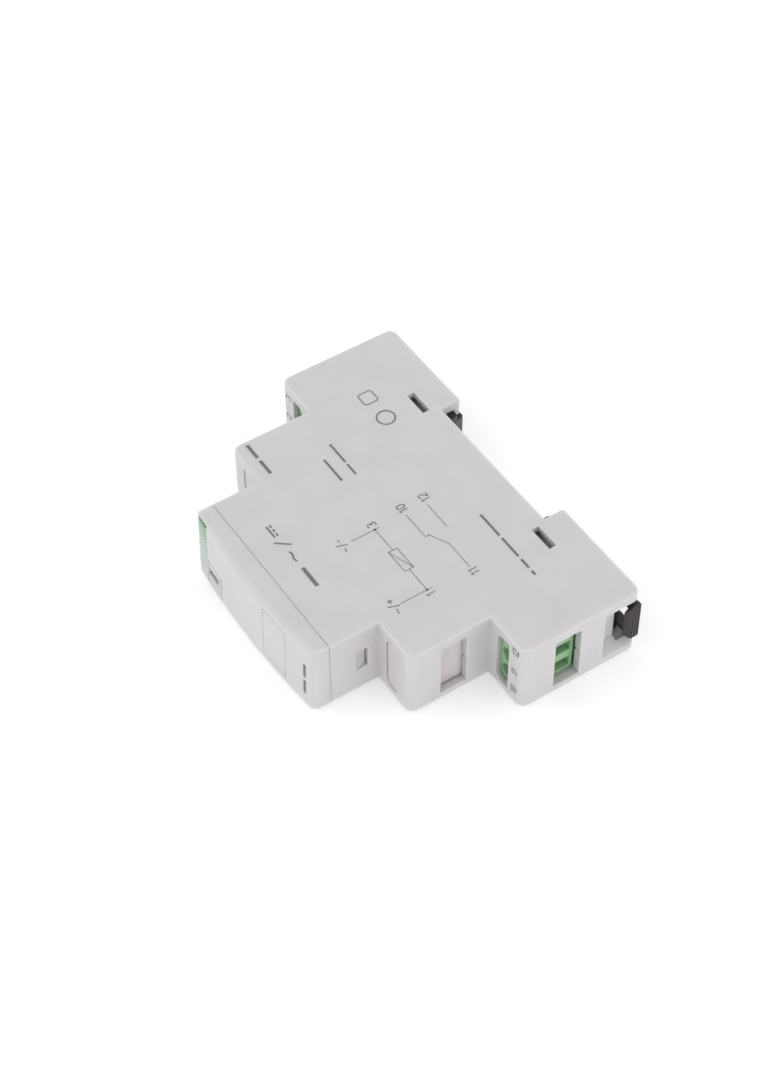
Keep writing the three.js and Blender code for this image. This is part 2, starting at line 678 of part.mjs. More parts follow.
function relayBase() {
  const { length, depth, wall } = RELAY;
  const gap = wall + 0.12;
  const plate = relayBox([gap, length - gap], [gap, depth - gap], [0, 1.2]);
  const holes = relayPins().map((pin) => block(
    [pin.x[0] - 0.1, pin.x[1] + 0.1], [pin.y[0] - 0.1, pin.y[1] + 0.1], [RELAY.z - 1, RELAY.z + 2]));
  return cut(plate, ...holes);
}

function coilBobbin() {
  const nearFlange = relayBox([7.0, 7.8], [1.9, 10.5], [1.4, 10.0]);
  const farFlange = relayBox([20.2, 21.0], [1.9, 10.5], [1.4, 10.0]);
  const tube = relayRod(2.7, [7.4, 20.6], COIL_W, 24);
  return cut(joined(nearFlange, farFlange, tube), relayRod(2.1, [5, 23], COIL_W));
}

function coilWinding() {
  return cut(relayRod(4.0, [7.9, 20.1], COIL_W, 28), relayRod(2.85, [6, 23], COIL_W, 24));
}

function coilCore() {
  return joined(relayRod(1.9, [5.6, 21.6], COIL_W), relayRod(3.2, [21.15, 22.3], COIL_W, 24));
}

function coilYoke() {
  const bent = relayStrip([
    [YOKE_U[0], 1.4], [YOKE_U[1], 1.4], [YOKE_U[1], 10.2], [22.6, 10.2], [22.6, 11.2], [YOKE_U[0], 11.2],
  ], [3.0, 9.4]);
  const pin = relayBox(YOKE_U, PIN_V, [PIN_W[0], 1.6]);
  return cut(joined(bent, pin), relayRod(2.05, [4, 8], COIL_W));
}

function armaturePlate() {
  return relayBox([ARMATURE_AXIS.u, 24.05], [3.4, 9.0], [2.0, 10.9]);
}

function contactBlade() {
  const strip = relayStrip([
    [24.1, 7.5], [24.4, 7.5], [24.4, 9.6], [26.0, 9.6], [26.0, 2.6], [26.3, 2.6], [26.3, 9.9], [24.1, 9.9],
  ], TONGUE_V);
  return joined(strip, relayRod(0.8, [25.75, 26.55], 3.5, 14));
}

function openContact() {
  const post = relayBox(OPEN_U, TONGUE_V, [1.35, 4.5]);
  const pin = relayBox(OPEN_U, PIN_V, [PIN_W[0], 1.6]);
  return joined(post, pin, relayRod(0.8, [24.6, 25.1], 3.3, 14));
}

function closedContact() {
  const post = relayBox(CLOSED_U, TONGUE_V, [1.35, 4.7]);
  const pin = relayBox(CLOSED_U, PIN_V, [PIN_W[0], 1.6]);
  return joined(post, pin, relayRod(0.8, [26.6, 27.1], 3.5, 14));
}

// A bent leaf on the yoke that keeps the armature against its stop and closes the resting contact.
function armatureSpring() {
  return relayStrip([
    [15, 11.25], [24.25, 11.25], [24.25, 10.3], [24.4, 10.3], [24.4, 11.42], [15, 11.42],
  ], [5.2, 7.2]);
}

// ---------------------------------------------------------------- assembly

addPiece('main_shell', mainShell(), SHELL_GREY);
addPiece('side_cover', sideCover(), SHELL_GREY);
addPiece('front_cover', frontCover(), SHELL_GREY);
addPiece('indicator_lens', indicatorLens(), LENS_GREEN);
addPiece('indicator_window', indicatorWindow(), CLEAR);
addPiece('front_blank', frontBlank(), BLANK_GREY);

// Each end holds the same block, screws, cages, blank and latch. The upper end is the lower end turned
// half a turn about the line through the module's middle that points at the rail.
const ENDS = [
  { side: 1, label: 'lower', terminals: [10, 11, 12] },
  { side: -1, label: 'upper', terminals: [1, 2, 3] },
];

for (const { side, label, terminals } of ENDS) {
  const end = new THREE.Group();
  if (side < 0) {
    end.rotation.y = Math.PI;
    end.position.z = WIDTH;
  }
  relay.add(end);
  addPiece(`terminal_block_${label}`, terminalBlock(), TERMINAL_GREEN, end);
  const slotZ = side > 0 ? OPENING_Z : [WIDTH - OPENING_Z[1], WIDTH - OPENING_Z[0]];
  addPiece(`blank_insert_${label}`, blankInsert(slotZ), BLANK_GREY, end);
  addPiece(`rail_latch_${label}`, railLatch(), LATCH_BLACK, end);
  POLES.forEach((z, pole) => {
    const turned = side > 0 ? pole : POLES.length - 1 - pole;
    addPiece(`terminal_screw_${terminals[turned]}`, terminalScrew(z), STEEL, end);
    addPiece(`clamp_cage_${terminals[turned]}`, clampCage(z), STEEL, end);
    addPiece(`contact_bar_${terminals[pole]}`, contactBar(side, pole), BRASS);
  });
}

addPiece('circuit_board', circuitBoard(), BOARD_GREEN);
addPiece('status_led', statusLed(), LED_GREEN);
addPiece('bridge_rectifier', leadedPackage([0, 24.5], [8.2, 6.4, 2.4], 2, 5.1), BLACK_RESIN);
addPiece('series_resistor', leadedPackage([-9, 12], [6.3, 2.2, 0.6], 1, 0), BLACK_RESIN);
addPiece('flyback_diode', leadedPackage([7, 12], [4.3, 2.6, 2.1], 1, 0), BLACK_RESIN);
addPiece('smoothing_capacitor', smoothingCapacitor(), ALUMINIUM);
addPiece('surge_varistor', surgeVaristor(), VARISTOR_BLUE);

addPiece('relay_cover', relayCover(), RELAY_BLUE);
addPiece('relay_base', relayBase(), RELAY_BLUE);
addPiece('coil_bobbin', coilBobbin(), BOBBIN_WHITE);
addPiece('coil_winding', coilWinding(), COPPER);
addPiece('coil_core', coilCore(), STEEL);
addPiece('coil_yoke', coilYoke(), STEEL);
addPiece('armature', armaturePlate(), STEEL);
addPiece('contact_blade', contactBlade(), BRASS);
addPiece('contact_normally_open', openContact(), BRASS);
addPiece('contact_normally_closed', closedContact(), BRASS);
addPiece('armature_spring', armatureSpring(), STEEL);
COIL_PINS_V.forEach((vs, k) => {
  addPiece(`coil_pin_${k + 1}`, relayBox(COIL_PIN_U, vs, [PIN_W[0], 6]), BRASS);
});

relay.position.y = -ORIGIN_Y;

export default relay;
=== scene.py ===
"""The looks of a one-module rail relay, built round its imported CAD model.

Shapes are made in millimetres in the housing's own axes: +X runs along the module to terminals 10 to 12, +Y
from the crowned front to the rail, and +Z across the module to its printed side. finished() turns each one
into metres in the model's frame.
"""

import json
import math

import bmesh
import bpy
from mathutils import Matrix, Vector


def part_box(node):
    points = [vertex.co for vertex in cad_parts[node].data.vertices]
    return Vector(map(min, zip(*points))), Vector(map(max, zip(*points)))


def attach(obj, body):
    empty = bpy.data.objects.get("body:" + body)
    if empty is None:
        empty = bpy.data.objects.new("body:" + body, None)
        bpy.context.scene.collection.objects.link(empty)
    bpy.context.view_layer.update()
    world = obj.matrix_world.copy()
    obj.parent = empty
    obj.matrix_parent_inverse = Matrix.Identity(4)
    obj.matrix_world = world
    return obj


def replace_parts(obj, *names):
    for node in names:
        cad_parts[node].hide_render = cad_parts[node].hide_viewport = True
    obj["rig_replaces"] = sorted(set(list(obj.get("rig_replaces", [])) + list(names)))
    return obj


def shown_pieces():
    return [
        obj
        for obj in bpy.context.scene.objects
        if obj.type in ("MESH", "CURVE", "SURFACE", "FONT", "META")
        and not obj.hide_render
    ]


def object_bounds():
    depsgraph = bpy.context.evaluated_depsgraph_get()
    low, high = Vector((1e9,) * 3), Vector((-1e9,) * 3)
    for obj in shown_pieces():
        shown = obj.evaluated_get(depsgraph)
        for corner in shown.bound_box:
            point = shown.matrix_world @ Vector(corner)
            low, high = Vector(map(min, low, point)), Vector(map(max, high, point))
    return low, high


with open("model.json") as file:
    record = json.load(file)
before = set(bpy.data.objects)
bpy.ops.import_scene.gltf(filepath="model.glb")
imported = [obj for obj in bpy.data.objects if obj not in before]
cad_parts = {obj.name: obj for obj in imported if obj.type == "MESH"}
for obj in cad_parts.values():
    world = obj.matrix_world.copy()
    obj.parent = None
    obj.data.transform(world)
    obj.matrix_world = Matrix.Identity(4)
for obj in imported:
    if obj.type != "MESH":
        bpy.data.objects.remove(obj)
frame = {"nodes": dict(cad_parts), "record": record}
cad_low, cad_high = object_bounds()

# ---------------------------------------------------------------- driving dimensions, in mm, as in the CAD

MM = 0.001
PAST = 1.0  # how far a cutter reaches past the face that it opens

# housing outline
WIDTH = 18.0
NOSE_HALF = 22.5
MID_HALF = 33.75
BASE_HALF = 45.0
STEP_1 = 15.1
STEP_2 = 34.3
BACK = 63.2
RECESS_HALF = 18.6
RECESS_FLOOR = 58.3
CROWN = 1.7
CROWN_END = 0.45
CROWN_LEAN = 0.5
SEAM = 3.7
SEAM_GAP = 0.1
FIT_GAP = 0.12
CORNER = 2.0
BACK_CORNER = 0.45  # where the rail recess meets the back
FINE_CORNER = 0.3
INNER_CORNER = 0.35  # where a step face meets the tier in front of it
CROWN_CORNER = 1.8
LENS_CORNER = 0.8

# walls and the space that they enclose
SIDE_WALL = 1.5
NOSE_WALL = 1.5
MID_WALL = 1.6
BASE_WALL = 1.9
STEP_WALL = 1.3
SHOULDER_Y = 52.6
SHOULDER_HALF = 40.4
CAVITY_END = 56.8

# openings, and what snaps into them
OPENING_Z = (1.7, 15.7)
MID_SLOT_X = (25.2, 29.1)
MID_END_Y = (22.5, 28.8)
BASE_SLOT_X = (36.1, 40.2)
BASE_END_Y = (42.2, 48.6)
SLOT_ROUND = 1.9
HOOK_WINDOW_X = (19.7, 25.9)
HOOK_WINDOW_Y = (54.3, 56.1)
HOOK_ARM_Y = (53.7, 54.7)
HOOK_LEDGE_Z = (12.4, 13.7)
HOOK_LEDGE_GAP = 0.3
HOOK_LEDGE_SPREAD = 2.2
HOOK_BARB_Z = (13.9, 15.8)
HOOK_BARB_REACH = 1.2
HOOK_SIDE_GAP = 0.4
SNAP_HOLE_Y = (9.9, 12.7)
SNAP_HOLE_Z = (6.05, 11.85)
SNAP_INNER_X = 19.6
SNAP_BARB_X = 20.5
SNAP_END_GAP = 0.3
INSERT_INNER_X = 23.9
INSERT_END_Y = 31.2
INSERT_WALL = 1.3

# terminals; POLES are the three screws' heights
POLES = (4.0, 9.0, 14.0)
SCREW_X = 38.4
HEAD_RADIUS = 1.85
HEAD_Y = (37.0, 38.2)
SHANK_RADIUS = 1.2
SHANK_END_Y = 41.75
THREAD_PITCH = 0.5
THREAD_DEPTH = 0.22
SLOT_HALF = 0.3
SLOT_DEPTH = 0.7
BLOCK_X = (35.3, 42.55)
BLOCK_Y = (35.7, 50.2)
BLOCK_Z = (1.7, 16.3)
BLOCK_REBATE = 1.2  # depth of the step that leaves a dark line along the opening's rail side
SHELF_Y = (38.3, 39.1)
WELL_GAP = 0.3
CHAMBER_X = (-2.3, 2.4)  # about the screw's axis
CHAMBER_END_Y = 49.7
CHAMBER_HALF = 2.1
CELL_Y = (42.6, 47.9)
CELL_HALF = 1.5
CAGE_Y = (40.85, 49.25)
CAGE_WALL = 0.9
CAGE_HALF_X = 2.05
CAGE_HALF_Z = 1.85
PASSAGE_HALF = 1.35
CAGE_GROOVES = (-1.2, -0.6, 0, 0.6, 1.2)
BAR_Y = (42.0, 42.8)
BAR_SLOT_HALF = 1.3

# rail latches
LATCH_FLANGE_Y = (59.5, 61.5)
LATCH_FLANGE_Z = (2.65, 15.35)
LATCH_NECK_Z = (4.6, 13.4)
LATCH_BACK = BACK + 0.3
LATCH_TIP = 16.8
LATCH_TRAVEL = 2.5
LATCH_RAMP_Y = 60.6
LATCH_RAMP_REACH = 1.6
LATCH_FLANGE_END = 40.4
LATCH_HEAD_X = (44.1, 45.0)
LATCH_HEAD_Y = 60.0
LATCH_HEAD_Z = (3.6, 14.1)
LATCH_HEAD_SLOPE = (1.7, 1.8)  # how far its front corners are cut away along Y and Z
LATCH_GROOVES_Y = (61.7, 62.35, 63.0)
LATCH_HOLE_X = 38.4
LATCH_RAIL = 0.6
LATCH_GAP = 0.25
HOOK_RELIEF = 0.3
# (Y start, Z span) of the pocket at the housing's end and at its bottom
POCKET_MOUTH = (54.4, (1.9, 15.7))
POCKET_BOTTOM = (56.6, (3.5, 14.8))
POCKET_X = 41.9

# crowned front
LENS_X = (-21.3, -18.0)
LENS_Z = (0.7, 17.2)
LENS_TOP_GAP = 0.45
LENS_FADE_Z = (9.0, 17.6)  # where the light guide's colour fades
WINDOW_X = (-17.55, -11.9)
WINDOW_TOP = 7.6
APERTURE_X = (-17.3, -13.1)
APERTURE_Z = (3.9, 5.7)
APERTURE_FLOOR = -0.2
FRONT_BLANK_X = (5.3, 13.0)
FRONT_BLANK_Z = (1.9, 15.6)
FRONT_BLANK_THICK = 1.2
LENS_THICK = 1.4
LENS_SEAT_GAP = 0.15
GROOVE = 0.2

# surfaces
INK = 0.018  # how far the print stands on the printed side
INK_ROOT = -0.06
TOP = WIDTH - 0.02  # the printed side, which makes room for the print inside the CAD's box
RIM = 0.5  # rounded edge round the printed side
LEFT_RIM = 0.6
CROWN_RIM = 1.3  # what the printed side's rim gains at the crown's middle
ARC_STEPS = 10
LEAST_RADIUS = 0.03
RIM_STEPS = 7
CROWN_STEPS = 48
BEVEL_ANGLE = 32  # degrees; a sharper edge than this is rounded
SCATTER_DEPTH = 1.5

BOTH_ENDS = (-1, 1)
TERMINALS = {"lower": (10, 11, 12), "upper": (3, 2, 1)}  # in the order of the poles at that end

# The CAD's own box gives where the housing's origin lies in the model's frame.
ORIGIN_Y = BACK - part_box("main_shell")[1].y / MM
TO_FRAME = Matrix.Scale(MM, 4) @ Matrix.Translation((0, -ORIGIN_Y, 0))
# The upper end is the lower end turned half a turn about the line through the middle towards the rail.
TO_UPPER_END = Matrix.Translation((0, 0, WIDTH)) @ Matrix.Rotation(math.pi, 4, "Y")


# ---------------------------------------------------------------- outlines

def arc_at(corner, before, after, radius):
    """The points of an arc that rounds a corner between two directions of travel."""
    half = before.angle(after) / 2
    reach = radius * math.tan(half)
    start = corner - before * reach
    centre = corner + (after - before).normalized() * math.hypot(radius, reach)
    spoke = start - centre
    turn = 2 * half * (1 if before.cross(after) > 0 else -1)
    points = []
    for k in range(ARC_STEPS + 1):
        angle = turn * k / ARC_STEPS
        points.append(centre + Matrix.Rotation(angle, 2) @ spoke)
    return points


def outline(corners, inset=0.0, still=()):
    """Points of a closed outline of (u, v) or (u, v, radius) corners, with its edges moved in by inset.
    An edge whose number is in still keeps its place; edge k leaves corner k."""
    count = len(corners)
    at = [Vector(c[:2]) for c in corners]
    area = sum(at[k - 1].cross(at[k]) for k in range(count))
    inwards = math.copysign(1, area)
    points = []
    for k in range(count):
        before = (at[k] - at[k - 1]).normalized()
        after = (at[(k + 1) % count] - at[k]).normalized()
        corner = at[k].copy()
        radius = corners[k][2] if len(corners[k]) > 2 else 0.0
        if inset:
            first = 0.0 if (k - 1) % count in still else inset * inwards
            second = 0.0 if k in still else inset * inwards
            slant = before.cross(after)
            corner += (after * first - before * second) / slant
        if radius:
            radius = max(LEAST_RADIUS, radius - math.copysign(inset, before.cross(after) * inwards))
            points += arc_at(corner, before, after, radius)
        else:
            points.append(corner)
    return points


def mirrored(corners):
    """The right half of an outline with its mirrored left half."""
    left = [(-c[0], *c[1:]) for c in reversed(corners)]
    return [*corners, *left]


def rectangle(us, vs, radius=0.0):
    return [(u, v, radius) for u, v in ((us[0], vs[0]), (us[1], vs[0]), (us[1], vs[1]), (us[0], vs[1]))]


def grown(span, amount):
    return (span[0] - amount, span[1] + amount)


# ---------------------------------------------------------------- solids

# Where outline coordinates u and v and the height w go for a slab along each axis.
ALONG = {
    "x": lambda u, v, w: (w, u, v),
    "y": lambda u, v, w: (u, w, v),
    "z": lambda u, v, w: (u, v, w),
}


def loft(rings):
    """A closed solid through rings of equally many points, capped at both ends."""
    bm = bmesh.new()
    rows = [[bm.verts.new(point) for point in ring] for ring in rings]
    for low, high in zip(rows, rows[1:]):
        for k in range(len(low)):
            bm.faces.new((low[k - 1], low[k], high[k], high[k - 1]))
    bm.faces.new(rows[0])
    bm.faces.new(rows[-1])
    bmesh.ops.recalc_face_normals(bm, faces=bm.faces)
    mesh = bpy.data.meshes.new("solid")
    bm.to_mesh(mesh)
    bm.free()
    solid = bpy.data.objects.new("solid", mesh)
    bpy.context.scene.collection.objects.link(solid)
    return solid


def rim_levels(span, rims):
    """(inset, height) of each ring of a slab whose two edges are rounded with the radii in rims."""
    low, high = span
    quarter = [math.pi / 2 * k / RIM_STEPS for k in range(RIM_STEPS + 1)]
    bottom = [(rims[0] * (1 - math.sin(a)), low + rims[0] * (1 - math.cos(a))) for a in quarter]
    top = [(rims[1] * (1 - math.sin(a)), high - rims[1] * (1 - math.cos(a))) for a in reversed(quarter)]
    return (bottom if rims[0] else [(0.0, low)]) + (top if rims[1] else [(0.0, high)])


def slab(corners, span, axis="z", rims=(0.0, 0.0), still=()):
    """An outline extruded along an axis. A span may be given in either order."""
    place = ALONG[axis]
    levels = rim_levels(sorted(span), rims)
    return loft([[place(*p, height) for p in outline(corners, inset, still)] for inset, height in levels])


def box(xs, ys, zs):
    return slab(rectangle(sorted(xs), sorted(ys)), zs)


def lathe(profile, axis, centre, sides=40):
    """A solid of revolution from (radius, height) points along an axis."""
    place = ALONG[axis]
    turns = [2 * math.pi * k / sides for k in range(sides)]
    rings = []
    for radius, height in profile:
        circle = [(centre[0] + radius * math.cos(a), centre[1] + radius * math.sin(a)) for a in turns]
        rings.append([place(u, v, height) for u, v in circle])
    return loft(rings)


def rod(axis, centre, radius, span, sides=40):
    return lathe([(radius, span[0]), (radius, span[1])], axis, centre, sides)


def funnel(outer, inner):
    """A four-sided hole from one (x, ys, zs) mouth to another."""
    rings = []
    for x, ys, zs in (outer, inner):
        rings.append([(x, *corner[:2]) for corner in rectangle(ys, zs)])
    return loft(rings)


def settle(solid):
    """Turns a solid's modifiers into its mesh."""
    graph = bpy.context.evaluated_depsgraph_get()
    solid.data = bpy.data.meshes.new_from_object(solid.evaluated_get(graph))
    solid.modifiers.clear()
    return solid


def combine(solid, others, operation):
    for other in others:
        modifier = solid.modifiers.new("combine", "BOOLEAN")
        modifier.operation = operation
        modifier.solver = "EXACT"
        modifier.object = other
    settle(solid)
    for other in others:
        bpy.data.objects.remove(other)
    return solid


def cut(solid, *tools):
    return combine(solid, tools, "DIFFERENCE")


def joined(solid, *others):
    return combine(solid, others, "UNION")


def shared(solid, other):
    return combine(solid, (other,), "INTERSECT")


def add_bevel(obj, width, segments=3):
    bevel = obj.modifiers.new("bevel", "BEVEL")
    bevel.width = width
    bevel.segments = segments
    bevel.limit_method = "ANGLE"
    bevel.angle_limit = math.radians(BEVEL_ANGLE)
    bevel.use_clamp_overlap = True
    bevel.miter_outer = "MITER_ARC"


def softened(solid, width, segments=3):
    """Rounds every sharp edge, as a moulded or stamped piece has it."""
    add_bevel(solid, width, segments)
    return settle(solid)


def shade(obj):
    for polygon in obj.data.polygons:
        polygon.use_smooth = True
    normals = obj.modifiers.new("normals", "WEIGHTED_NORMAL")
    normals.keep_sharp = False
    normals.weight = 60  # a little more than even towards the larger faces


def finished(solid, name, body, material, replaced=True, turned=False):
    """Puts a solid in the model's frame as a named piece that rides on a body."""
    solid.name = name + "_shape" if replaced else name
    solid.data.name = solid.name
    solid.data.transform((TO_FRAME @ TO_UPPER_END) if turned else TO_FRAME)
    solid.data.materials.clear()
    solid.data.materials.append(material)
    shade(solid)
    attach(solid, body)
    if replaced:
        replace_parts(solid, name)
    return solid


# ---------------------------------------------------------------- materials

def shader_of(name):
    material = bpy.data.materials.new(name)
    material.use_nodes = True
    tree = material.node_tree
    return material, tree, tree.nodes["Principled BSDF"]


def add_node(tree, kind, inputs=None, **settings):
    made = tree.nodes.new("ShaderNode" + kind)
    for key, value in settings.items():
        setattr(made, key, value)
    for key, value in (inputs or {}).items():
        made.inputs[key].default_value = value
    return made


def linear(red, green, blue):
    """An 8-bit display colour as the linear colour that a shader takes."""
    def channel(value):
        share = value / 255
        return share / 12.92 if share <= 0.04045 else ((share + 0.055) / 1.055) ** 2.4
    return (channel(red), channel(green), channel(blue), 1.0)


def noise(tree, size, detail=2.0, stretch=(1, 1, 1)):
    """Noise whose features are about size millimetres wide."""
    place = add_node(tree, "TexCoord")
    scale = add_node(tree, "Mapping", {"Scale": stretch})
    made = add_node(tree, "TexNoise", {"Scale": 1 / (size * MM), "Detail": detail})
    tree.links.new(place.outputs["Object"], scale.inputs["Vector"])
    tree.links.new(scale.outputs["Vector"], made.inputs["Vector"])
    return made.outputs["Fac"]


def ranged(tree, value, low, high, start=0.3, end=0.7):
    """A value from start to end as one from low to high."""
    made = add_node(tree, "MapRange", {
        "From Min": start, "From Max": end, "To Min": low, "To Max": high})
    tree.links.new(value, made.inputs["Value"])
    return made.outputs["Result"]


def blended(tree, share, first, second):
    """Two colours mixed by a share; either may be a socket or a constant."""
    mix = add_node(tree, "Mix", data_type="RGBA")
    tree.links.new(share, mix.inputs["Factor"])
    # A Mix node has an A, a B and a Result for each kind of data. These are the colour's.
    first_colour, second_colour = mix.inputs[6:8]
    for socket, colour in ((first_colour, first), (second_colour, second)):
        if isinstance(colour, tuple):
            socket.default_value = colour
        else:
            tree.links.new(colour, socket)
    return mix.outputs[2]


def shaded(colour, factor):
    return (*(min(1.0, channel * factor) for channel in colour[:3]), 1.0)


def edge_share(tree, width):
    """1 along edges, 0 on flat faces. It marks worn or burnished edges, and where the plastic's painted
    highlight goes.
    """
    rounded = add_node(tree, "Bevel", {"Radius": width * MM}, samples=4)
    surface = add_node(tree, "NewGeometry")
    dot = add_node(tree, "VectorMath", operation="DOT_PRODUCT")
    tree.links.new(rounded.outputs["Normal"], dot.inputs[0])
    tree.links.new(surface.outputs["Normal"], dot.inputs[1])
    return ranged(tree, dot.outputs["Value"], 1.0, 0.0, 0.8, 0.995)


def add_relief(tree, shader, layers):
    """Stacks bump layers of (height socket, depth in mm, strength)."""
    normal = None
    for height, depth, strength in layers:
        bump = add_node(tree, "Bump", {"Distance": depth * MM, "Strength": strength})
        tree.links.new(height, bump.inputs["Height"])
        if normal:
            tree.links.new(normal, bump.inputs["Normal"])
        normal = bump.outputs["Normal"]
    tree.links.new(normal, shader.inputs["Normal"])


def add_scatter(shader, weight):
    """Light that goes into the plastic and comes out nearby, alike in every colour."""
    shader.inputs["Subsurface Weight"].default_value = weight
    shader.inputs["Subsurface Radius"].default_value = (1.0, 1.0, 1.0)
    shader.inputs["Subsurface Scale"].default_value = SCATTER_DEPTH * MM


def plastic(name, colour, roughness, grain=0.16, depth=0.012, mottle=0.03, edge_wear_and_highlight=0.05, scatter=0.0):
    """Moulded plastic: a spark-eroded grain, faint mottling, uneven gloss, and edges painted lighter, as
    wear and as a painted highlight.
    grain and depth are the grain's width and depth in mm, and the other numbers are shares."""
    material, tree, shader = shader_of(name)
    clouds = noise(tree, 9.0, 4.0)
    speckle = noise(tree, grain, 3.0)
    flow = noise(tree, 2.2, 3.0, (1.0, 0.45, 1.0))
    tone = blended(tree, ranged(tree, clouds, 0, 1), shaded(colour, 1 - mottle), shaded(colour, 1 + mottle))
    fine = blended(tree, ranged(tree, speckle, 0, 0.5), tone, shaded(colour, 1 - 1.5 * mottle))
    # Painted highlight and wear: edges are mixed towards a lighter copy of the colour.
    edge = edge_share(tree, 0.3)
    worn_and_highlit_edge = add_node(tree, "Math", {1: edge_wear_and_highlight * 4}, operation="MULTIPLY")
    tree.links.new(edge, worn_and_highlit_edge.inputs[0])
    tree.links.new(blended(tree, worn_and_highlit_edge.outputs[0], fine, shaded(colour, 1.3)), shader.inputs["Base Color"])
    gloss = ranged(tree, flow, roughness - 0.06, roughness + 0.07)
    tree.links.new(gloss, shader.inputs["Roughness"])
    add_relief(tree, shader, [(flow, 0.02, 0.12), (speckle, depth, 0.6)])
    if scatter:
        add_scatter(shader, scatter)
    return material


def height_share(tree, low, high):
    """0 below one height across the module and 1 above another, in mm."""
    place = add_node(tree, "TexCoord")
    axes = add_node(tree, "SeparateXYZ")
    tree.links.new(place.outputs["Object"], axes.inputs["Vector"])
    return ranged(tree, axes.outputs["Z"], 0, 1, low * MM, high * MM)


def translucent(name, colour, roughness, clearness, faded=None):
    """A moulded light guide: tinted, part clear, with flow lines and a fine haze. faded is the colour
    that it takes towards the left side, if it has one."""
    material, tree, shader = shader_of(name)
    clouds = noise(tree, 3.0, 3.0)
    haze = noise(tree, 0.25, 3.0)
    streaks = noise(tree, 0.9, 2.0, (1.0, 1.0, 0.12))
    tint = blended(tree, height_share(tree, *LENS_FADE_Z), faded, colour) if faded else colour
    tone = blended(tree, ranged(tree, clouds, 0, 0.35), tint, shaded(colour, 0.9))
    pale = faded or shaded(colour, 1.25)
    tree.links.new(blended(tree, ranged(tree, streaks, 0, 0.25), tone, pale), shader.inputs["Base Color"])
    tree.links.new(ranged(tree, haze, roughness - 0.05, roughness + 0.1), shader.inputs["Roughness"])
    shader.inputs["Transmission Weight"].default_value = clearness
    shader.inputs["IOR"].default_value = 1.5
    add_scatter(shader, 0.4)
    add_relief(tree, shader, [(streaks, 0.03, 0.2), (haze, 0.008, 0.4)])
    return material


def metal(name, colour, roughness, grain, tarnish=0.25):
    """Plated or stamped metal: drawn lines, spots of dulled plating and bright edges. The lines run
    along the axes whose numbers in grain are the smallest."""
    material, tree, shader = shader_of(name)
    lines = noise(tree, 0.12, 4.0, grain)
    spots = noise(tree, 1.4, 5.0)
    dull = ranged(tree, spots, 0, tarnish, 0.45, 0.75)
    tone = blended(tree, dull, colour, shaded(colour, 0.45))
    bright = blended(tree, edge_share(tree, 0.12), tone, shaded(colour, 1.25))
    tree.links.new(bright, shader.inputs["Base Color"])
    tree.links.new(ranged(tree, lines, roughness - 0.08, roughness + 0.14), shader.inputs["Roughness"])
    shader.inputs["Metallic"].default_value = 1.0
    add_relief(tree, shader, [(spots, 0.02, 0.15), (lines, 0.006, 0.5)])
    return material


def board_material():
    """Solder mask over the board's weave and faint tracks."""
    material, tree, shader = shader_of("solder_mask")
    black, white = (0, 0, 0, 1), (1, 1, 1, 1)
    base = linear(36, 98, 58)
    place = add_node(tree, "TexCoord")
    tracks = add_node(tree, "TexBrick", {
        "Scale": 1 / (4 * MM), "Mortar Size": 0.035, "Color1": black, "Color2": black, "Mortar": white})
    tree.links.new(place.outputs["Object"], tracks.inputs["Vector"])
    weave = noise(tree, 0.4, 2.0)
    tone = blended(tree, ranged(tree, weave, 0, 1), shaded(base, 0.85), shaded(base, 1.15))
    tree.links.new(
        blended(tree, tracks.outputs["Fac"], tone, linear(70, 138, 78)), shader.inputs["Base Color"])
    tree.links.new(ranged(tree, weave, 0.3, 0.45), shader.inputs["Roughness"])
    add_relief(tree, shader, [(tracks.outputs["Fac"], 0.035, 0.5), (weave, 0.01, 0.4)])
    return material


def winding_material():
    """Enamelled wire laid turn beside turn, with painted shade in the grooves between the turns."""
    material, tree, shader = shader_of("winding")
    colour = linear(176, 92, 42)
    place = add_node(tree, "TexCoord")
    turns = add_node(tree, "TexWave", {"Scale": 1 / (0.6 * MM), "Distortion": 0.4, "Detail": 1.0},
                     wave_type="BANDS", bands_direction="X", wave_profile="SIN")
    tree.links.new(place.outputs["Object"], turns.inputs["Vector"])
    blotch = noise(tree, 1.1, 3.0)
    tone = blended(tree, ranged(tree, blotch, 0, 1), shaded(colour, 0.8), shaded(colour, 1.2))
    # Painted shade: the grooves between turns are darkened.
    tree.links.new(
        blended(tree, turns.outputs["Fac"], shaded(colour, 0.35), tone), shader.inputs["Base Color"])
    tree.links.new(ranged(tree, blotch, 0.22, 0.36), shader.inputs["Roughness"])
    shader.inputs["Metallic"].default_value = 0.8
    shader.inputs["Coat Weight"].default_value = 0.5
    add_relief(tree, shader, [(turns.outputs["Fac"], 0.08, 0.9)])
    return material


def ink_material():
    """Pad-printed grey ink, slightly starved in places."""
    material, tree, shader = shader_of("ink")
    starved = noise(tree, 0.22, 4.0)
    share = ranged(tree, starved, 0, 1, 0.42, 0.72)
    tree.links.new(
        blended(tree, share, linear(98, 93, 96), linear(140, 136, 139)), shader.inputs["Base Color"])
    tree.links.new(ranged(tree, starved, 0.45, 0.62), shader.inputs["Roughness"])
    add_relief(tree, shader, [(starved, 0.006, 0.5)])
    return material


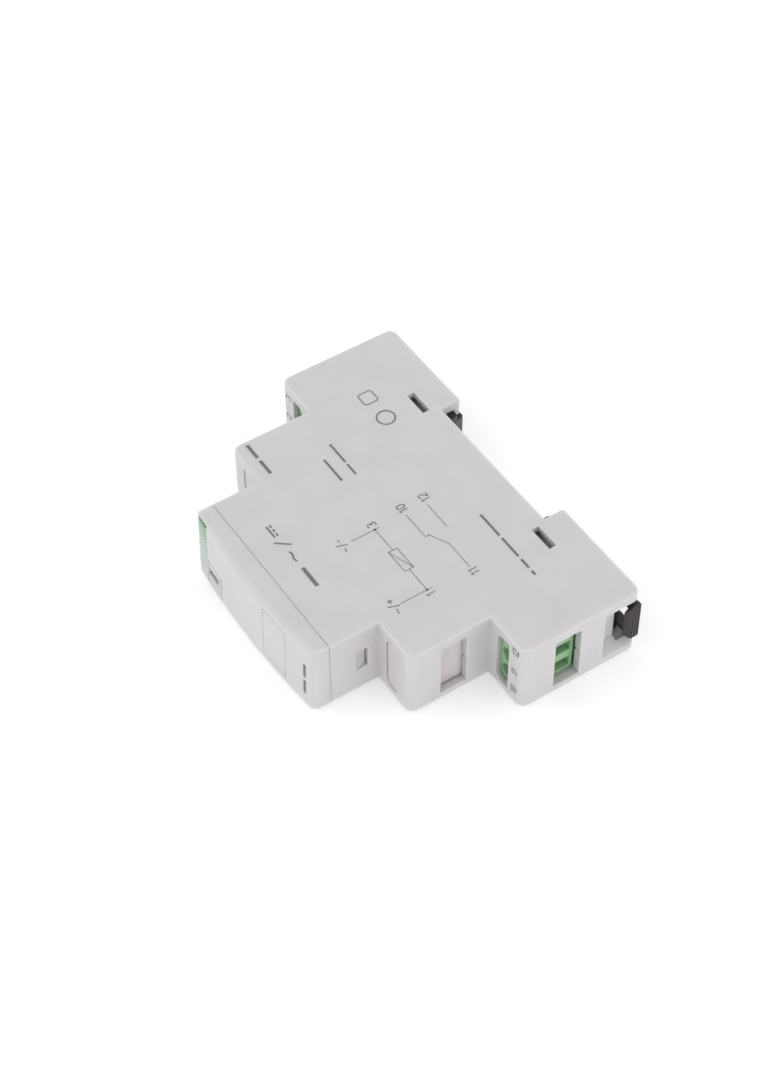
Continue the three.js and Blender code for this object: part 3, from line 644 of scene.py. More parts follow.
MATERIALS = {
    "housing": plastic("housing_plastic", linear(207, 204, 206), 0.45, scatter=0.7),
    "blank": plastic("blank_plastic", linear(211, 205, 204), 0.5, grain=0.2, scatter=0.3),
    "terminal_green": plastic("terminal_plastic", linear(152, 200, 148), 0.36, depth=0.006, scatter=0.8),
    # The latch's edges are painted lighter: a painted highlight on its end, and wear.
    "latch_black": plastic("latch_plastic", linear(32, 21, 18), 0.34, grain=0.2, mottle=0.12, edge_wear_and_highlight=0.1),
    "green_lens": translucent("lens_plastic", linear(44, 146, 86), 0.28, 0.15, linear(204, 212, 202)),
    "clear_window": translucent("window_plastic", linear(210, 209, 206), 0.3, 0.2),
    # The aperture's dark grey is painted shade in the window's slot.
    "aperture": plastic("aperture_painted_shade", linear(104, 101, 94), 0.3, depth=0.003),
    "zinc_steel": metal("zinc_steel", linear(196, 194, 188), 0.32, (1.0, 0.15, 1.0)),
    "tinned_brass": metal("tinned_brass", linear(214, 190, 130), 0.3, (0.15, 1.0, 1.0)),
    "relay_iron": metal("relay_iron", linear(176, 174, 170), 0.38, (0.2, 1.0, 1.0), 0.4),
    "capacitor_can": metal("capacitor_can", linear(200, 202, 206), 0.34, (1.0, 0.1, 0.1), 0.15),
    "board": board_material(),
    "copper": winding_material(),
    "led": translucent("led_epoxy", linear(120, 200, 120), 0.15, 0.6),
    "black_resin": plastic("black_resin", linear(38, 38, 41), 0.5, grain=0.12, mottle=0.1),
    "varistor": plastic("varistor_epoxy", linear(42, 92, 170), 0.28, grain=0.5, depth=0.02, mottle=0.08),
    "relay_case": plastic("relay_case_plastic", linear(62, 72, 84), 0.3, depth=0.004, mottle=0.06),
    "bobbin": plastic("bobbin_plastic", linear(228, 222, 206), 0.42, scatter=0.2),
    "ink": ink_material(),
}


# ---------------------------------------------------------------- housing

def at_end(side, span):
    return [side * value for value in span]


def cavity_corners(inset, front):
    """The space inside the housing, made smaller by inset, from the front plane given."""
    return mirrored([
        (SHOULDER_HALF - inset, CAVITY_END - inset),
        (SHOULDER_HALF - inset, SHOULDER_Y - inset),
        (BASE_HALF - BASE_WALL - inset, SHOULDER_Y - inset),
        (BASE_HALF - BASE_WALL - inset, STEP_2 + STEP_WALL + inset),
        (MID_HALF - MID_WALL - inset, STEP_2 + STEP_WALL + inset),
        (MID_HALF - MID_WALL - inset, STEP_1 + STEP_WALL + inset),
        (NOSE_HALF - NOSE_WALL - inset, STEP_1 + STEP_WALL + inset),
        (NOSE_HALF - NOSE_WALL - inset, front),
    ])


def slot_corners(side, xs, grow, zs=OPENING_Z):
    """A slot in a step face, straight on its outer side and rounded on its inner side."""
    low = zs[0] - grow
    high = zs[1] + grow
    return [
        (side * (xs[1] + grow), low, FINE_CORNER),
        (side * (xs[1] + grow), high, FINE_CORNER),
        (side * (xs[0] - grow), high, SLOT_ROUND),
        (side * (xs[0] - grow), low, SLOT_ROUND),
    ]


def latch_way(side):
    """The cutters for a latch's T shaped way, its funnelled pocket and the relief below its hook."""
    flange_z = grown(LATCH_FLANGE_Z, LATCH_GAP)
    way_start = RECESS_HALF - PAST
    mouth_y, mouth_z = POCKET_MOUTH
    bottom_y, bottom_z = POCKET_BOTTOM
    return [
        box(at_end(side, (way_start, LATCH_FLANGE_END + LATCH_TRAVEL + LATCH_GAP)),
            grown(LATCH_FLANGE_Y, LATCH_GAP), flange_z),
        box(at_end(side, (way_start, BASE_HALF + PAST)), (LATCH_FLANGE_Y[1], BACK + PAST),
            grown(LATCH_NECK_Z, LATCH_GAP)),
        funnel((side * (BASE_HALF + 0.01), (mouth_y, BACK + PAST), mouth_z),
               (side * POCKET_X, (bottom_y, BACK + PAST), bottom_z)),
        box(at_end(side, (LATCH_TIP - HOOK_RELIEF, RECESS_HALF)),
            (RECESS_FLOOR - HOOK_RELIEF, RECESS_FLOOR + PAST), flange_z),
    ]


def main_shell():
    """The printed side with all the end walls, step faces, openings and the latches' ways."""
    corners = mirrored([
        (RECESS_HALF, RECESS_FLOOR, FINE_CORNER),
        (RECESS_HALF, BACK, BACK_CORNER),
        (BASE_HALF, BACK, CORNER),
        (BASE_HALF, STEP_2, CORNER),
        (MID_HALF, STEP_2, INNER_CORNER),
        (MID_HALF, STEP_1, CORNER),
        (NOSE_HALF, STEP_1, INNER_CORNER),
        (NOSE_HALF, SEAM + SEAM_GAP),
    ])
    seam_edge = len(corners) // 2 - 1
    shell = slab(corners, (0, TOP), rims=(LEFT_RIM, RIM), still=(seam_edge,))
    tools = [slab(cavity_corners(0, 0), (-PAST, WIDTH - SIDE_WALL))]
    for side in BOTH_ENDS:
        tools += latch_way(side)
        for slot_x, step in ((MID_SLOT_X, STEP_1), (BASE_SLOT_X, STEP_2)):
            tools.append(slab(slot_corners(side, slot_x, 0), grown((step, step + STEP_WALL), PAST), "y"))
        for half, wall, ys, zs in (
                (MID_HALF, MID_WALL, MID_END_Y, OPENING_Z),
                (BASE_HALF, BASE_WALL, BASE_END_Y, OPENING_Z),
                (NOSE_HALF, NOSE_WALL, SNAP_HOLE_Y, SNAP_HOLE_Z)):
            tools.append(box(at_end(side, grown((half - wall, half), PAST)), ys, zs))
        printed_wall = grown((WIDTH - SIDE_WALL, WIDTH), PAST)
        tools.append(box(at_end(side, HOOK_WINDOW_X), HOOK_WINDOW_Y, printed_wall))
    shell = cut(shell, *tools)
    ledge_x = grown(HOOK_WINDOW_X, HOOK_LEDGE_SPREAD)
    ledge_y = (HOOK_ARM_Y[1] + HOOK_LEDGE_GAP, CAVITY_END + 0.5)
    ledges = [box(at_end(side, ledge_x), ledge_y, HOOK_LEDGE_Z) for side in BOTH_ENDS]
    shell = softened(joined(shell, *ledges), 0.16)
    return cut(shell, *jamb_slits())


def jamb_slits():
    """The fine joint that crosses the jamb of each end opening, with the notch at its inner end."""
    tools = []
    for side in BOTH_ENDS:
        for half, wall, jamb in ((MID_HALF, MID_WALL, MID_END_Y[1]), (BASE_HALF, BASE_WALL, BASE_END_Y[1])):
            inner = half - wall
            notch = [(inner - 0.1, 8.6), (inner + 0.85, 8.3), (inner - 0.1, 7.6)]
            above = [(inner + 0.5, 8.4), (half - 0.8, 8.25), (half - 0.3, 7.9), (half - 0.1, 7.2)]
            below = [(half - 0.4, 7.2), (half - 0.5, 7.65), (half - 0.85, 7.95), (inner + 0.5, 8.1)]
            for corners, depth in ((notch, 0.9), (above + below, 0.5)):
                tools.append(slab([(side * x, z) for x, z in corners], (jamb - 0.3, jamb + depth), "y"))
    return tools


def side_cover():
    """Drops into the open side of the shell. Two hooks reach up to the shell's ledges."""
    cover = slab(cavity_corners(FIT_GAP, SEAM + SEAM_GAP), (0, SIDE_WALL))
    arm_low = SIDE_WALL - 0.5
    hooks = []
    for side in BOTH_ENDS:
        hooks.append(slab([
            (HOOK_ARM_Y[0], arm_low),
            (HOOK_ARM_Y[1], arm_low),
            (HOOK_ARM_Y[1], HOOK_BARB_Z[0]),
            (HOOK_ARM_Y[1] + HOOK_BARB_REACH, HOOK_BARB_Z[0]),
            (HOOK_ARM_Y[1], HOOK_BARB_Z[1]),
            (HOOK_ARM_Y[0], HOOK_BARB_Z[1]),
        ], at_end(side, grown(HOOK_WINDOW_X, -HOOK_SIDE_GAP)), "x"))
    return softened(joined(cover, *hooks), 0.14)


# ---------------------------------------------------------------- crowned front

def crown_rise(x, z=0.0):
    """How far the crowned face stands in front of the nose's front plane."""
    return CROWN_END + (CROWN - CROWN_END) * (1 - (x / NOSE_HALF) ** 2) - CROWN_LEAN * z / WIDTH


def crown_corners(inset, depth_end):
    """The crowned face's outline, with a small corner at the lens and a large one at the other end."""
    half = NOSE_HALF - inset
    last_plain = NOSE_HALF - CROWN_CORNER - 1
    first_plain = LENS_CORNER + 0.4 - NOSE_HALF
    corners = []
    for k in range(CROWN_STEPS + 1):
        x = half * (2 * k / CROWN_STEPS - 1)
        radius = {0: LENS_CORNER, CROWN_STEPS: CROWN_CORNER}.get(k, 0.0)
        in_corner = last_plain < x < half or -half < x < first_plain
        if not in_corner:
            corners.append((x, inset - crown_rise(x), max(0.0, radius - inset)))
    return [*corners, (half, depth_end), (-half, depth_end)]


def lean_back(solid):
    """Leans the crowned face back towards the printed side."""
    for vertex in solid.data.vertices:
        if vertex.co.y < SEAM - 1:
            vertex.co.y += CROWN_LEAN * vertex.co.z / WIDTH
    return solid


def crown_body():
    """The front cover's outer form. Its rim on the printed side is widest at the crown's middle."""
    line = [Vector(p) for p in outline(crown_corners(0, SEAM))]
    count = len(line)
    normals = []
    for k in range(count):
        along = (line[(k + 1) % count] - line[k]).normalized() + (line[k] - line[k - 1]).normalized()
        on_seam = line[k].y > SEAM - 0.01
        outwards = Vector((math.copysign(1, line[k].x), 0)) if on_seam else Vector((along.y, -along.x))
        normals.append(outwards.normalized())
    rings = []
    for share, height, printed in rim_shares():
        ring = []
        for point, normal in zip(line, normals):
            rim = (RIM + CROWN_RIM * max(0.0, -point.y - CROWN_END) / CROWN) if printed else LEFT_RIM
            u, v = point - normal * rim * share
            ring.append((u, v, (TOP - rim * height) if printed else rim * height))
        rings.append(ring)
    return lean_back(loft(rings))


def rim_shares():
    """(inset, height, whether on the printed side) of each ring, as shares of the rim's radius."""
    quarter = [math.pi / 2 * k / RIM_STEPS for k in range(RIM_STEPS + 1)]
    low = [(1 - math.sin(a), 1 - math.cos(a), False) for a in quarter]
    high = [(share, height, True) for share, height, _ in reversed(low)]
    return low + high


def crown_inside(inset, depth_end):
    """What hollows the crowned face out to a wall of inset."""
    return lean_back(slab(crown_corners(inset, depth_end), (inset, WIDTH - inset)))


def column(xs, zs, depth, radius=0.0):
    """What a window or blank takes out of the crowned face, down to a depth."""
    return slab(rectangle(xs, zs, radius), (-CROWN - PAST, depth), "y")


def crown_patch(xs, zs, thickness, radius=0.0):
    """A plate that fills an outline in the crowned face."""
    patch = shared(crown_body(), column(xs, zs, LENS_THICK, radius))
    return cut(patch, crown_inside(thickness, SEAM + PAST))


def front_cover():
    """The crowned cover, with a tongue at each end that snaps into the nose."""
    seat = LENS_THICK + LENS_SEAT_GAP
    cover = cut(
        crown_body(),
        crown_inside(SIDE_WALL, SEAM + PAST),
        column(grown(LENS_X, 0.05), (LENS_Z[0] - 0.1, LENS_Z[1] + LENS_TOP_GAP), seat),
        column(grown(WINDOW_X, GROOVE), (-PAST, WINDOW_TOP + GROOVE), seat),
        column(grown(FRONT_BLANK_X, GROOVE), grown(FRONT_BLANK_Z, GROOVE), SEAM - 1, 0.6))
    root_y = SEAM - SIDE_WALL
    barb_y = (SNAP_HOLE_Y[0] + 0.1, SNAP_HOLE_Y[1] - SNAP_END_GAP)
    tongue_z = grown(SNAP_HOLE_Z, -0.25)
    tongues = []
    for side in BOTH_ENDS:
        tongues += [
            box(at_end(side, (SNAP_INNER_X, NOSE_HALF - NOSE_WALL - 0.2)), (root_y, barb_y[1]), tongue_z),
            box(at_end(side, (SNAP_INNER_X, NOSE_HALF - 0.5)), (root_y, SEAM), tongue_z),
            slab([
                (side * SNAP_BARB_X, barb_y[0]),
                (side * (NOSE_HALF - 0.06), barb_y[0]),
                (side * (NOSE_HALF - 0.9), barb_y[1]),
                (side * SNAP_BARB_X, barb_y[1]),
            ], grown(SNAP_HOLE_Z, -0.1)),
        ]
    return softened(joined(cover, *tongues), 0.05, 2)


def indicator_window():
    window = crown_patch(WINDOW_X, (-PAST, WINDOW_TOP), LENS_THICK)
    return cut(window, column(APERTURE_X, APERTURE_Z, APERTURE_FLOOR))


def indicator_aperture():
    """The plate at the bottom of the window's slot, dark grey to paint the shade that falls in the slot."""
    corners = rectangle(grown(APERTURE_X, -0.04), grown(APERTURE_Z, -0.04), 0.1)
    return softened(slab(corners, (APERTURE_FLOOR - 0.14, APERTURE_FLOOR - 0.02), "y"), 0.02, 2)


def blank_insert(slot_z):
    """Fills the unused middle tier: a tray behind both openings, with a tongue in the slot."""
    end = MID_HALF - MID_WALL - 0.25
    front = STEP_1 + STEP_WALL + 0.1
    tray = box((INSERT_INNER_X, end), (front, INSERT_END_Y), BLOCK_Z)
    tongue_x = (MID_SLOT_X[0] + 0.2, MID_SLOT_X[1])
    tongue = slab(
        slot_corners(1, tongue_x, -FIT_GAP, slot_z), (STEP_1 + 0.25, STEP_1 + STEP_WALL + 0.5), "y")
    inside = box((INSERT_INNER_X - PAST, end - INSERT_WALL), (front + INSERT_WALL, INSERT_END_Y - 1.2),
                 grown(BLOCK_Z, -INSERT_WALL))
    return softened(cut(joined(tray, tongue), inside), 0.12)


# ---------------------------------------------------------------- terminals

def terminal_block():
    """Three chambers for the clamp cages, each with its screw's well, its wire's cell and its bar's slot."""
    block = box(BLOCK_X, BLOCK_Y, BLOCK_Z)
    well = HEAD_RADIUS + WELL_GAP
    chamber_x = (SCREW_X + CHAMBER_X[0], SCREW_X + CHAMBER_X[1])
    tools = []
    for z in POLES:
        tools += [
            lathe([(well + 0.3, BLOCK_Y[0] - 0.1), (well, BLOCK_Y[0] + 0.3), (well, SHELF_Y[0])],
                  "y", (SCREW_X, z)),
            rod("y", (SCREW_X, z), SHANK_RADIUS + 0.25, grown(SHELF_Y, PAST)),
            box(chamber_x, (SHELF_Y[1], CHAMBER_END_Y), grown((z, z), CHAMBER_HALF)),
            box((SCREW_X, BLOCK_X[1] + PAST), CELL_Y, grown((z, z), CELL_HALF)),
            box((BLOCK_X[0] - PAST, SCREW_X), grown(BAR_Y, 0.15), grown((z, z), BAR_SLOT_HALF)),
        ]
    rebate_x = (BLOCK_X[1] - BLOCK_REBATE, BLOCK_X[1] + PAST)
    tools.append(box(rebate_x, (BASE_END_Y[1] - 0.02, BLOCK_Y[1] + PAST), (0, WIDTH)))
    return softened(cut(block, *tools), 0.1)


def terminal_screw(z):
    """A cheese-head screw with a bevelled rim, a slot and rolled threads."""
    top, under = HEAD_Y
    head = lathe([
        (HEAD_RADIUS - 0.3, top),
        (HEAD_RADIUS - 0.08, top + 0.1),
        (HEAD_RADIUS, top + 0.3),
        (HEAD_RADIUS, under - 0.1),
        (HEAD_RADIUS - 0.1, under),
    ], "y", (SCREW_X, z), 48)
    root = SHANK_RADIUS - THREAD_DEPTH
    y = under + 0.1
    profile = [(root, under - 0.4), (root, y)]
    while y + THREAD_PITCH < SHANK_END_Y - 0.1:
        profile += [(SHANK_RADIUS, y + THREAD_PITCH * share) for share in (0.45, 0.6)]
        y += THREAD_PITCH
        profile.append((root, y))
    profile.append((root - 0.15, SHANK_END_Y))
    shank = lathe(profile, "y", (SCREW_X, z), 32)
    slot = box(grown((SCREW_X, SCREW_X), HEAD_RADIUS + PAST), (top - PAST, top + SLOT_DEPTH),
               grown((z, z), SLOT_HALF))
    return softened(cut(joined(head, shank), slot), 0.04, 2)


def clamp_cage(z):
    """A bent strap with a hole for the screw, and grooves in the wall that presses on the wire."""
    cage = slab(rectangle(grown((SCREW_X, SCREW_X), CAGE_HALF_X), CAGE_Y, 0.5), grown((z, z), CAGE_HALF_Z))
    inner_y = grown(CAGE_Y, -CAGE_WALL)
    passage = slab(rectangle(inner_y, grown((z, z), PASSAGE_HALF), 0.3),
                   grown((SCREW_X, SCREW_X), CAGE_HALF_X + PAST), "x")
    grooves = []
    for offset in CAGE_GROOVES:
        x = SCREW_X + offset
        grooves.append(box(grown((x, x), 0.12), (inner_y[1] - 0.1, inner_y[1] + 0.12), grown((z, z), 1.2)))
    thread = rod("y", (SCREW_X, z), SHANK_RADIUS + 0.12, (CAGE_Y[0] - PAST, inner_y[0] + PAST))
    return softened(cut(cage, passage, thread, *grooves), 0.08, 2)


# ---------------------------------------------------------------- rail latch

def rail_latch():
    """A T section hooked at the rail's end, with a screwdriver hole and a grooved head at the other."""
    flange = box((LATCH_TIP, LATCH_FLANGE_END), LATCH_FLANGE_Y, LATCH_FLANGE_Z)
    neck = box((LATCH_TIP, LATCH_HEAD_X[0] + 0.3), (LATCH_FLANGE_Y[1] - 0.5, LATCH_BACK), LATCH_NECK_Z)
    slope_y, slope_z = LATCH_HEAD_SLOPE
    head = slab([
        (LATCH_HEAD_Y, LATCH_HEAD_Z[0] + slope_z),
        (LATCH_HEAD_Y, LATCH_HEAD_Z[1] - slope_z),
        (LATCH_HEAD_Y + slope_y, LATCH_HEAD_Z[1]),
        (LATCH_BACK, LATCH_HEAD_Z[1], 0.6),
        (LATCH_BACK, LATCH_HEAD_Z[0], 0.6),
        (LATCH_HEAD_Y + slope_y, LATCH_HEAD_Z[0]),
    ], LATCH_HEAD_X, "x")
    hole = box((LATCH_HOLE_X, LATCH_HEAD_X[0]), (LATCH_FLANGE_Y[0] - PAST, LATCH_BACK + PAST),
               grown(LATCH_NECK_Z, -LATCH_RAIL))
    ramp = slab([
        (LATCH_TIP - PAST, LATCH_RAMP_Y),
        (LATCH_TIP, LATCH_RAMP_Y),
        (LATCH_TIP + LATCH_RAMP_REACH, LATCH_BACK + PAST),
        (LATCH_TIP - PAST, LATCH_BACK + PAST),
    ], (0, WIDTH))
    end = LATCH_HEAD_X[1]
    grooves = [box((end - 0.12, end + PAST), grown((y, y), 0.1), (0, WIDTH)) for y in LATCH_GROOVES_Y]
    chamfer = slab([
        (end + 0.1, LATCH_HEAD_Y - 0.1),
        (end + 0.1, LATCH_HEAD_Y + 1.3),
        (end - 0.75, LATCH_HEAD_Y - 0.1),
    ], (0, WIDTH))
    latch = joined(cut(joined(flange, neck), hole, ramp), cut(head, chamfer, *grooves))
    return softened(latch, 0.07, 2)


# ---------------------------------------------------------------- print

def arc_points(centre, radii, start, end, steps=14):
    """Points along an ellipse's arc. Angles are in degrees, anticlockwise from the reading direction."""
    angles = [math.radians(start + (end - start) * k / steps) for k in range(steps + 1)]
    return [(centre[0] + radii[0] * math.cos(a), centre[1] + radii[1] * math.sin(a)) for a in angles]


# The signs used, in a cell 1 high: each entry is (width, open strokes). "=" is the sign for direct current.
SIGN_GAP = 0.16
SIGNS = {
    "0": (0.58, [arc_points((0.29, 0.5), (0.27, 0.5), 90, 450, 24)]),
    "1": (0.36, [[(0.02, 0.78), (0.24, 1.0), (0.24, 0.0)]]),
    "2": (0.56, [arc_points((0.28, 0.72), (0.26, 0.28), 165, -35) + [(0.02, 0.0), (0.56, 0.0)]]),
    "3": (0.54, [
        arc_points((0.26, 0.75), (0.24, 0.25), 150, -90),
        arc_points((0.26, 0.26), (0.27, 0.26), 90, -150)]),
    "+": (0.62, [[(0.04, 0.5), (0.58, 0.5)], [(0.31, 0.23), (0.31, 0.77)]]),
    "-": (0.5, [[(0.04, 0.5), (0.46, 0.5)]]),
    "=": (0.62, [
        [(0.0, 0.66), (0.62, 0.66)],
        [(0.0, 0.34), (0.14, 0.34)],
        [(0.24, 0.34), (0.38, 0.34)],
        [(0.48, 0.34), (0.62, 0.34)]]),
    "/": (0.5, [[(0.04, -0.08), (0.44, 1.05)]]),
    "~": (0.62, [
        arc_points((0.16, 0.44), (0.13, 0.12), 180, 30, 8)
        + arc_points((0.42, 0.54), (0.14, 0.12), 200, 350, 8)]),
}


def add_ribbon(bm, points, width, place):
    """A stroke of ink as a closed strip. place(u, v, lift) gives a point on the object."""
    at = [Vector(p) for p in points]
    sides = []
    for k, point in enumerate(at):
        before = (point - at[k - 1]).normalized() if k else (at[1] - point).normalized()
        after = (at[k + 1] - point).normalized() if k + 1 < len(at) else before
        across = Vector((-(before + after).y, (before + after).x)).normalized()
        reach = width / 2 / max(0.5, across.dot(Vector((-before.y, before.x))))
        sides.append((point + across * reach, point - across * reach))
    rows = []
    for left, right in sides:
        rows.append([bm.verts.new(place(*p, lift)) for p, lift in (
            (left, INK), (right, INK), (right, INK_ROOT), (left, INK_ROOT))])
    for low, high in zip(rows, rows[1:]):
        for k in range(4):
            bm.faces.new((low[k - 1], low[k], high[k], high[k - 1]))
    bm.faces.new(rows[0])
    bm.faces.new(rows[-1])


def add_sign_row(bm, text, start, height, width, place, stretch=1.0):
    """Writes signs from start in the reading direction, with ink width as given."""
    u, v = start
    for sign in text:
        advance, strokes = SIGNS[sign]
        for stroke in strokes:
            add_ribbon(bm, [(u + x * height * stretch, v + y * height) for x, y in stroke], width, place)
        u += (advance + SIGN_GAP) * height * stretch


def on_printed_side(u, v, lift):
    """u is -X and v is -Y, so that print reads from the lower end to the upper end."""
    return (-u, -v, TOP + lift)


def on_crown(u, v, lift):
    """u is +Z and v is -X on the crowned face."""
    return (-v, -crown_rise(-v, u) - lift, u)


def on_base_step(u, v, lift):
    """u is +Z and v is -X on the step faces beside the terminals' slots."""
    return (-v, STEP_2 - lift, u)


def add_bars(bm, spans, v, height, place):
    """Plain bars in place of words: each span is a word's start and end."""
    for start, end in spans:
        steps = [start + (end - start) * k / 4 for k in range(5)]
        add_ribbon(bm, [(u, v) for u in steps], height, place)


def add_wiring_diagram(bm):
    """The coil between its two leads, and the changeover contact beside it. Places are (X, Y) in mm."""
    line = 0.13
    dot = 0.44
    strokes = [
        [(2.0, 22.0), (2.0, 29.0)],
        [(21.0, 21.5), (21.0, 29.0)],
        [(2.0, 27.8), (8.6, 27.8)],
        [(14.6, 27.8), (21.0, 27.8)],
        [(8.6, 26.75), (14.6, 26.75), (14.6, 28.85), (8.6, 28.85), (8.6, 26.67)],
        [(8.6, 26.75), (14.6, 28.85)],
        [(2.3, 35.3), (9.3, 35.3), (9.3, 36.3)],
        [(9.1, 36.1), (13.5, 38.3), (20.8, 38.3)],
        [(2.3, 40.5), (9.5, 40.5)],
    ]
    for stroke in strokes:
        add_ribbon(bm, [(-x, -y) for x, y in stroke], line, on_printed_side)
    for x in (2.0, 21.0):
        add_ribbon(bm, [(-x - dot / 2, -27.8), (-x + dot / 2, -27.8)], dot, on_printed_side)
    labels = [
        ("12", (1.3, 42.0)),
        ("10", (1.3, 36.5)),
        ("11", (23.0, 39.3)),
        ("3", (1.1, 28.9)),
        ("1", (22.6, 28.9)),
    ]
    for text, (x, y) in labels:
        add_sign_row(bm, text, (-x, -y), 1.9, 0.22, on_printed_side)
    add_sign_row(bm, "~/-", (-3.9, -20.9), 2.0, 0.2, on_printed_side)
    add_sign_row(bm, "~/+", (-22.9, -20.9), 2.0, 0.2, on_printed_side)


def printed_marks():
    """All the print: plain bars for words, a ring and a square for marks, and the terminals' numbers."""
    bm = bmesh.new()
    add_wiring_diagram(bm)
    add_bars(bm, ((-8.0, -2.4),), -10.2, 0.8, on_printed_side)
    add_sign_row(bm, "~/=", (-0.4, -11.4), 2.5, 0.34, on_printed_side, 2.2)
    add_bars(bm, ((23.0, 27.2), (28.2, 32.5)), -18.25, 0.7, on_printed_side)
    add_bars(bm, ((13.0, 20.0),), -29.5, 0.45, on_printed_side)
    add_bars(bm, ((13.0, 16.2), (17.0, 23.0)), -32.9, 0.45, on_printed_side)
    ratings = ((-29.8, -28.6), (-27.6, -25.0), (-24.0, -18.2), (-17.3, -10.7))
    add_bars(bm, ratings, -48.0, 0.5, on_printed_side)
    add_bars(bm, ((3.4, 7.4), (8.6, 12.4)), -19.6, 0.75, on_crown)
    ring = arc_points((23.0, -47.0), (2.0, 2.0), 0, 360, 40)
    add_ribbon(bm, ring, 0.3, on_printed_side)
    square = outline(rectangle((28.3, 31.7), (-48.7, -45.3), 0.7))
    add_ribbon(bm, [*square, square[0]], 0.22, on_printed_side)
    for text, z in (("10", 2.8), ("11", 8.6), ("12", 14.7)):
        add_sign_row(bm, text, (z, -43.2), 1.8, 0.25, on_base_step)
    for text, z in (("1", 3.4), ("2", 8.7), ("3", 14.4)):
        add_sign_row(bm, text, (z, 41.2), 1.8, 0.24, on_base_step)
    bmesh.ops.recalc_face_normals(bm, faces=bm.faces)
    mesh = bpy.data.meshes.new("printed_marks")
    bm.to_mesh(mesh)
    bm.free()
    marks = bpy.data.objects.new("printed_marks", mesh)
    bpy.context.scene.collection.objects.link(marks)
    return marks


# ---------------------------------------------------------------- pieces carried over from the CAD

def dress(name, slot, bevel):
    """Gives a CAD node its material and softens its edges without changing its mesh."""
    node = frame["nodes"][name]
    node.data.materials.clear()
    node.data.materials.append(MATERIALS[slot])
    weld = node.modifiers.new("weld", "WELD")
    weld.merge_threshold = MM / 1000
    add_bevel(node, bevel * MM, 2)
    shade(node)


def dress_carried_over():
    """Dresses every CAD node that no piece replaces."""
    replaced = {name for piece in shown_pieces() for name in piece.get("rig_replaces", [])}
    for part in frame["record"]["subparts"]:
        if part["node"] not in replaced:
            dress(part["node"], part["material_slot"], 0.06)


# ---------------------------------------------------------------- building the pieces

def add_piece(solid, name, body, slot, turned=False):
    return finished(solid, name, body, MATERIALS[slot], turned=turned)


def add_detail(solid, name, material):
    """A piece of the housing's looks that stands for no CAD node."""
    finished(solid, name, "housing", MATERIALS[material], replaced=False)


def build_housing():
    add_piece(main_shell(), "main_shell", "housing", "housing")
    add_piece(side_cover(), "side_cover", "housing", "housing")
    add_piece(front_cover(), "front_cover", "housing", "housing")
    lens = softened(crown_patch(LENS_X, LENS_Z, LENS_THICK), 0.08, 2)
    add_piece(lens, "indicator_lens", "housing", "green_lens")
    add_piece(softened(indicator_window(), 0.05, 2), "indicator_window", "housing", "clear_window")
    add_detail(indicator_aperture(), "indicator_aperture", "aperture")
    blank = softened(crown_patch(FRONT_BLANK_X, FRONT_BLANK_Z, FRONT_BLANK_THICK, 0.5), 0.05, 2)
    finished(blank, "front_blank", "housing", MATERIALS["housing"])
    add_detail(printed_marks(), "printed_marks", "ink")


def build_end(label):
    """The pieces at one end, made at the lower end and turned over for the upper one."""
    turned = label == "upper"
    add_piece(terminal_block(), f"terminal_block_{label}", "housing", "terminal_green", turned)
    slot_z = (WIDTH - OPENING_Z[1], WIDTH - OPENING_Z[0]) if turned else OPENING_Z
    add_piece(blank_insert(slot_z), f"blank_insert_{label}", "housing", "blank", turned)
    add_piece(rail_latch(), f"rail_latch_{label}", f"latch_{label}", "latch_black", turned)
    for z, number in zip(POLES, TERMINALS[label]):
        add_piece(terminal_screw(z), f"terminal_screw_{number}", f"screw_{number}", "zinc_steel", turned)
        add_piece(clamp_cage(z), f"clamp_cage_{number}", f"cage_{number}", "zinc_steel", turned)


# ---------------------------------------------------------------- studio

CAMERA_PLACE = (257.231, -135.302, 369.872)  # mm, in the housing's axes
CAMERA_AZIMUTH = 56.76
CAMERA_ELEVATION = 49.37
CAMERA_ROLL = -0.381
CAMERA_LENS = 76.99
FLOOR_HALF = 3.0  # this and what follows in metres, watts and shares
FLOOR_DROP = 0.0002
FLOOR_GREY = 0.92
FLOOR_GLOW = 0.2
WORLD_STRENGTH = 0.95
LIGHTS = {  # place, size, power
    "key": ((-0.3, -0.5, 0.7), 0.6, 0.7),
    "side": ((0.76, 0.36, 0.55), 0.3, 0.4),
}


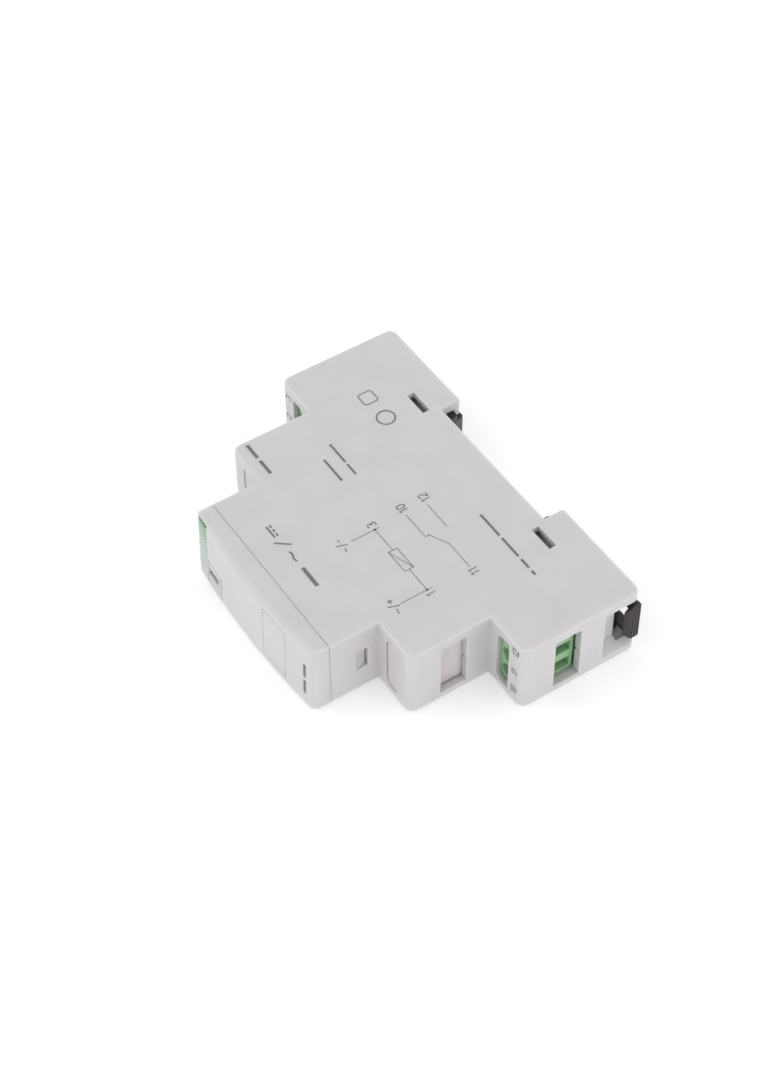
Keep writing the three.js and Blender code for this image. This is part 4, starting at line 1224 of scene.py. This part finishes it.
def add_camera():
    azimuth, elevation = math.radians(CAMERA_AZIMUTH), math.radians(CAMERA_ELEVATION)
    level = math.cos(elevation)
    back = Vector((math.sin(azimuth) * level, -math.cos(azimuth) * level, math.sin(elevation)))
    roll = Matrix.Rotation(math.radians(CAMERA_ROLL), 3, "Z")
    turn = (-back).to_track_quat("-Z", "Y").to_matrix() @ roll
    camera = bpy.data.objects.new("camera", bpy.data.cameras.new("camera"))
    bpy.context.scene.collection.objects.link(camera)
    camera.matrix_world = Matrix.Translation(TO_FRAME @ Vector(CAMERA_PLACE)) @ turn.to_4x4()
    camera.data.lens = CAMERA_LENS
    camera.data.clip_start = 0.01
    bpy.context.scene.camera = camera


def add_floor():
    """A plain white sweep, lit enough to stay white beside the part."""
    material, _, shader = shader_of("floor")
    shader.inputs["Base Color"].default_value = (FLOOR_GREY, FLOOR_GREY, FLOOR_GREY, 1)
    shader.inputs["Roughness"].default_value = 0.9
    shader.inputs["Emission Color"].default_value = (1, 1, 1, 1)
    shader.inputs["Emission Strength"].default_value = FLOOR_GLOW
    span = (-FLOOR_HALF, FLOOR_HALF)
    mesh = bpy.data.meshes.new("floor")
    mesh.from_pydata([(x, y, 0) for x, y, _ in rectangle(span, span)], [], [(0, 1, 2, 3)])
    mesh.materials.append(material)
    floor = bpy.data.objects.new("floor", mesh)
    floor.location.z = cad_low.z - FLOOR_DROP
    bpy.context.scene.collection.objects.link(floor)


def add_light(name, place, size, power):
    """A soft square light that faces the part."""
    light = bpy.data.lights.new(name, "AREA")
    light.size = size
    light.energy = power
    lamp = bpy.data.objects.new(name, light)
    lamp.location = place
    lamp.rotation_euler = (-Vector(place)).to_track_quat("-Z", "Y").to_euler()
    bpy.context.scene.collection.objects.link(lamp)


def add_studio():
    scene = bpy.context.scene
    scene.view_settings.view_transform = "Standard"
    world = bpy.data.worlds.new("studio")
    world.use_nodes = True
    background = world.node_tree.nodes["Background"]
    background.inputs["Color"].default_value = (1.0, 1.0, 1.0, 1)
    background.inputs["Strength"].default_value = WORLD_STRENGTH
    scene.world = world
    for name, (place, size, power) in LIGHTS.items():
        add_light(name, place, size, power)


build_housing()
build_end("lower")
build_end("upper")
dress_carried_over()
add_camera()
add_floor()
add_studio()
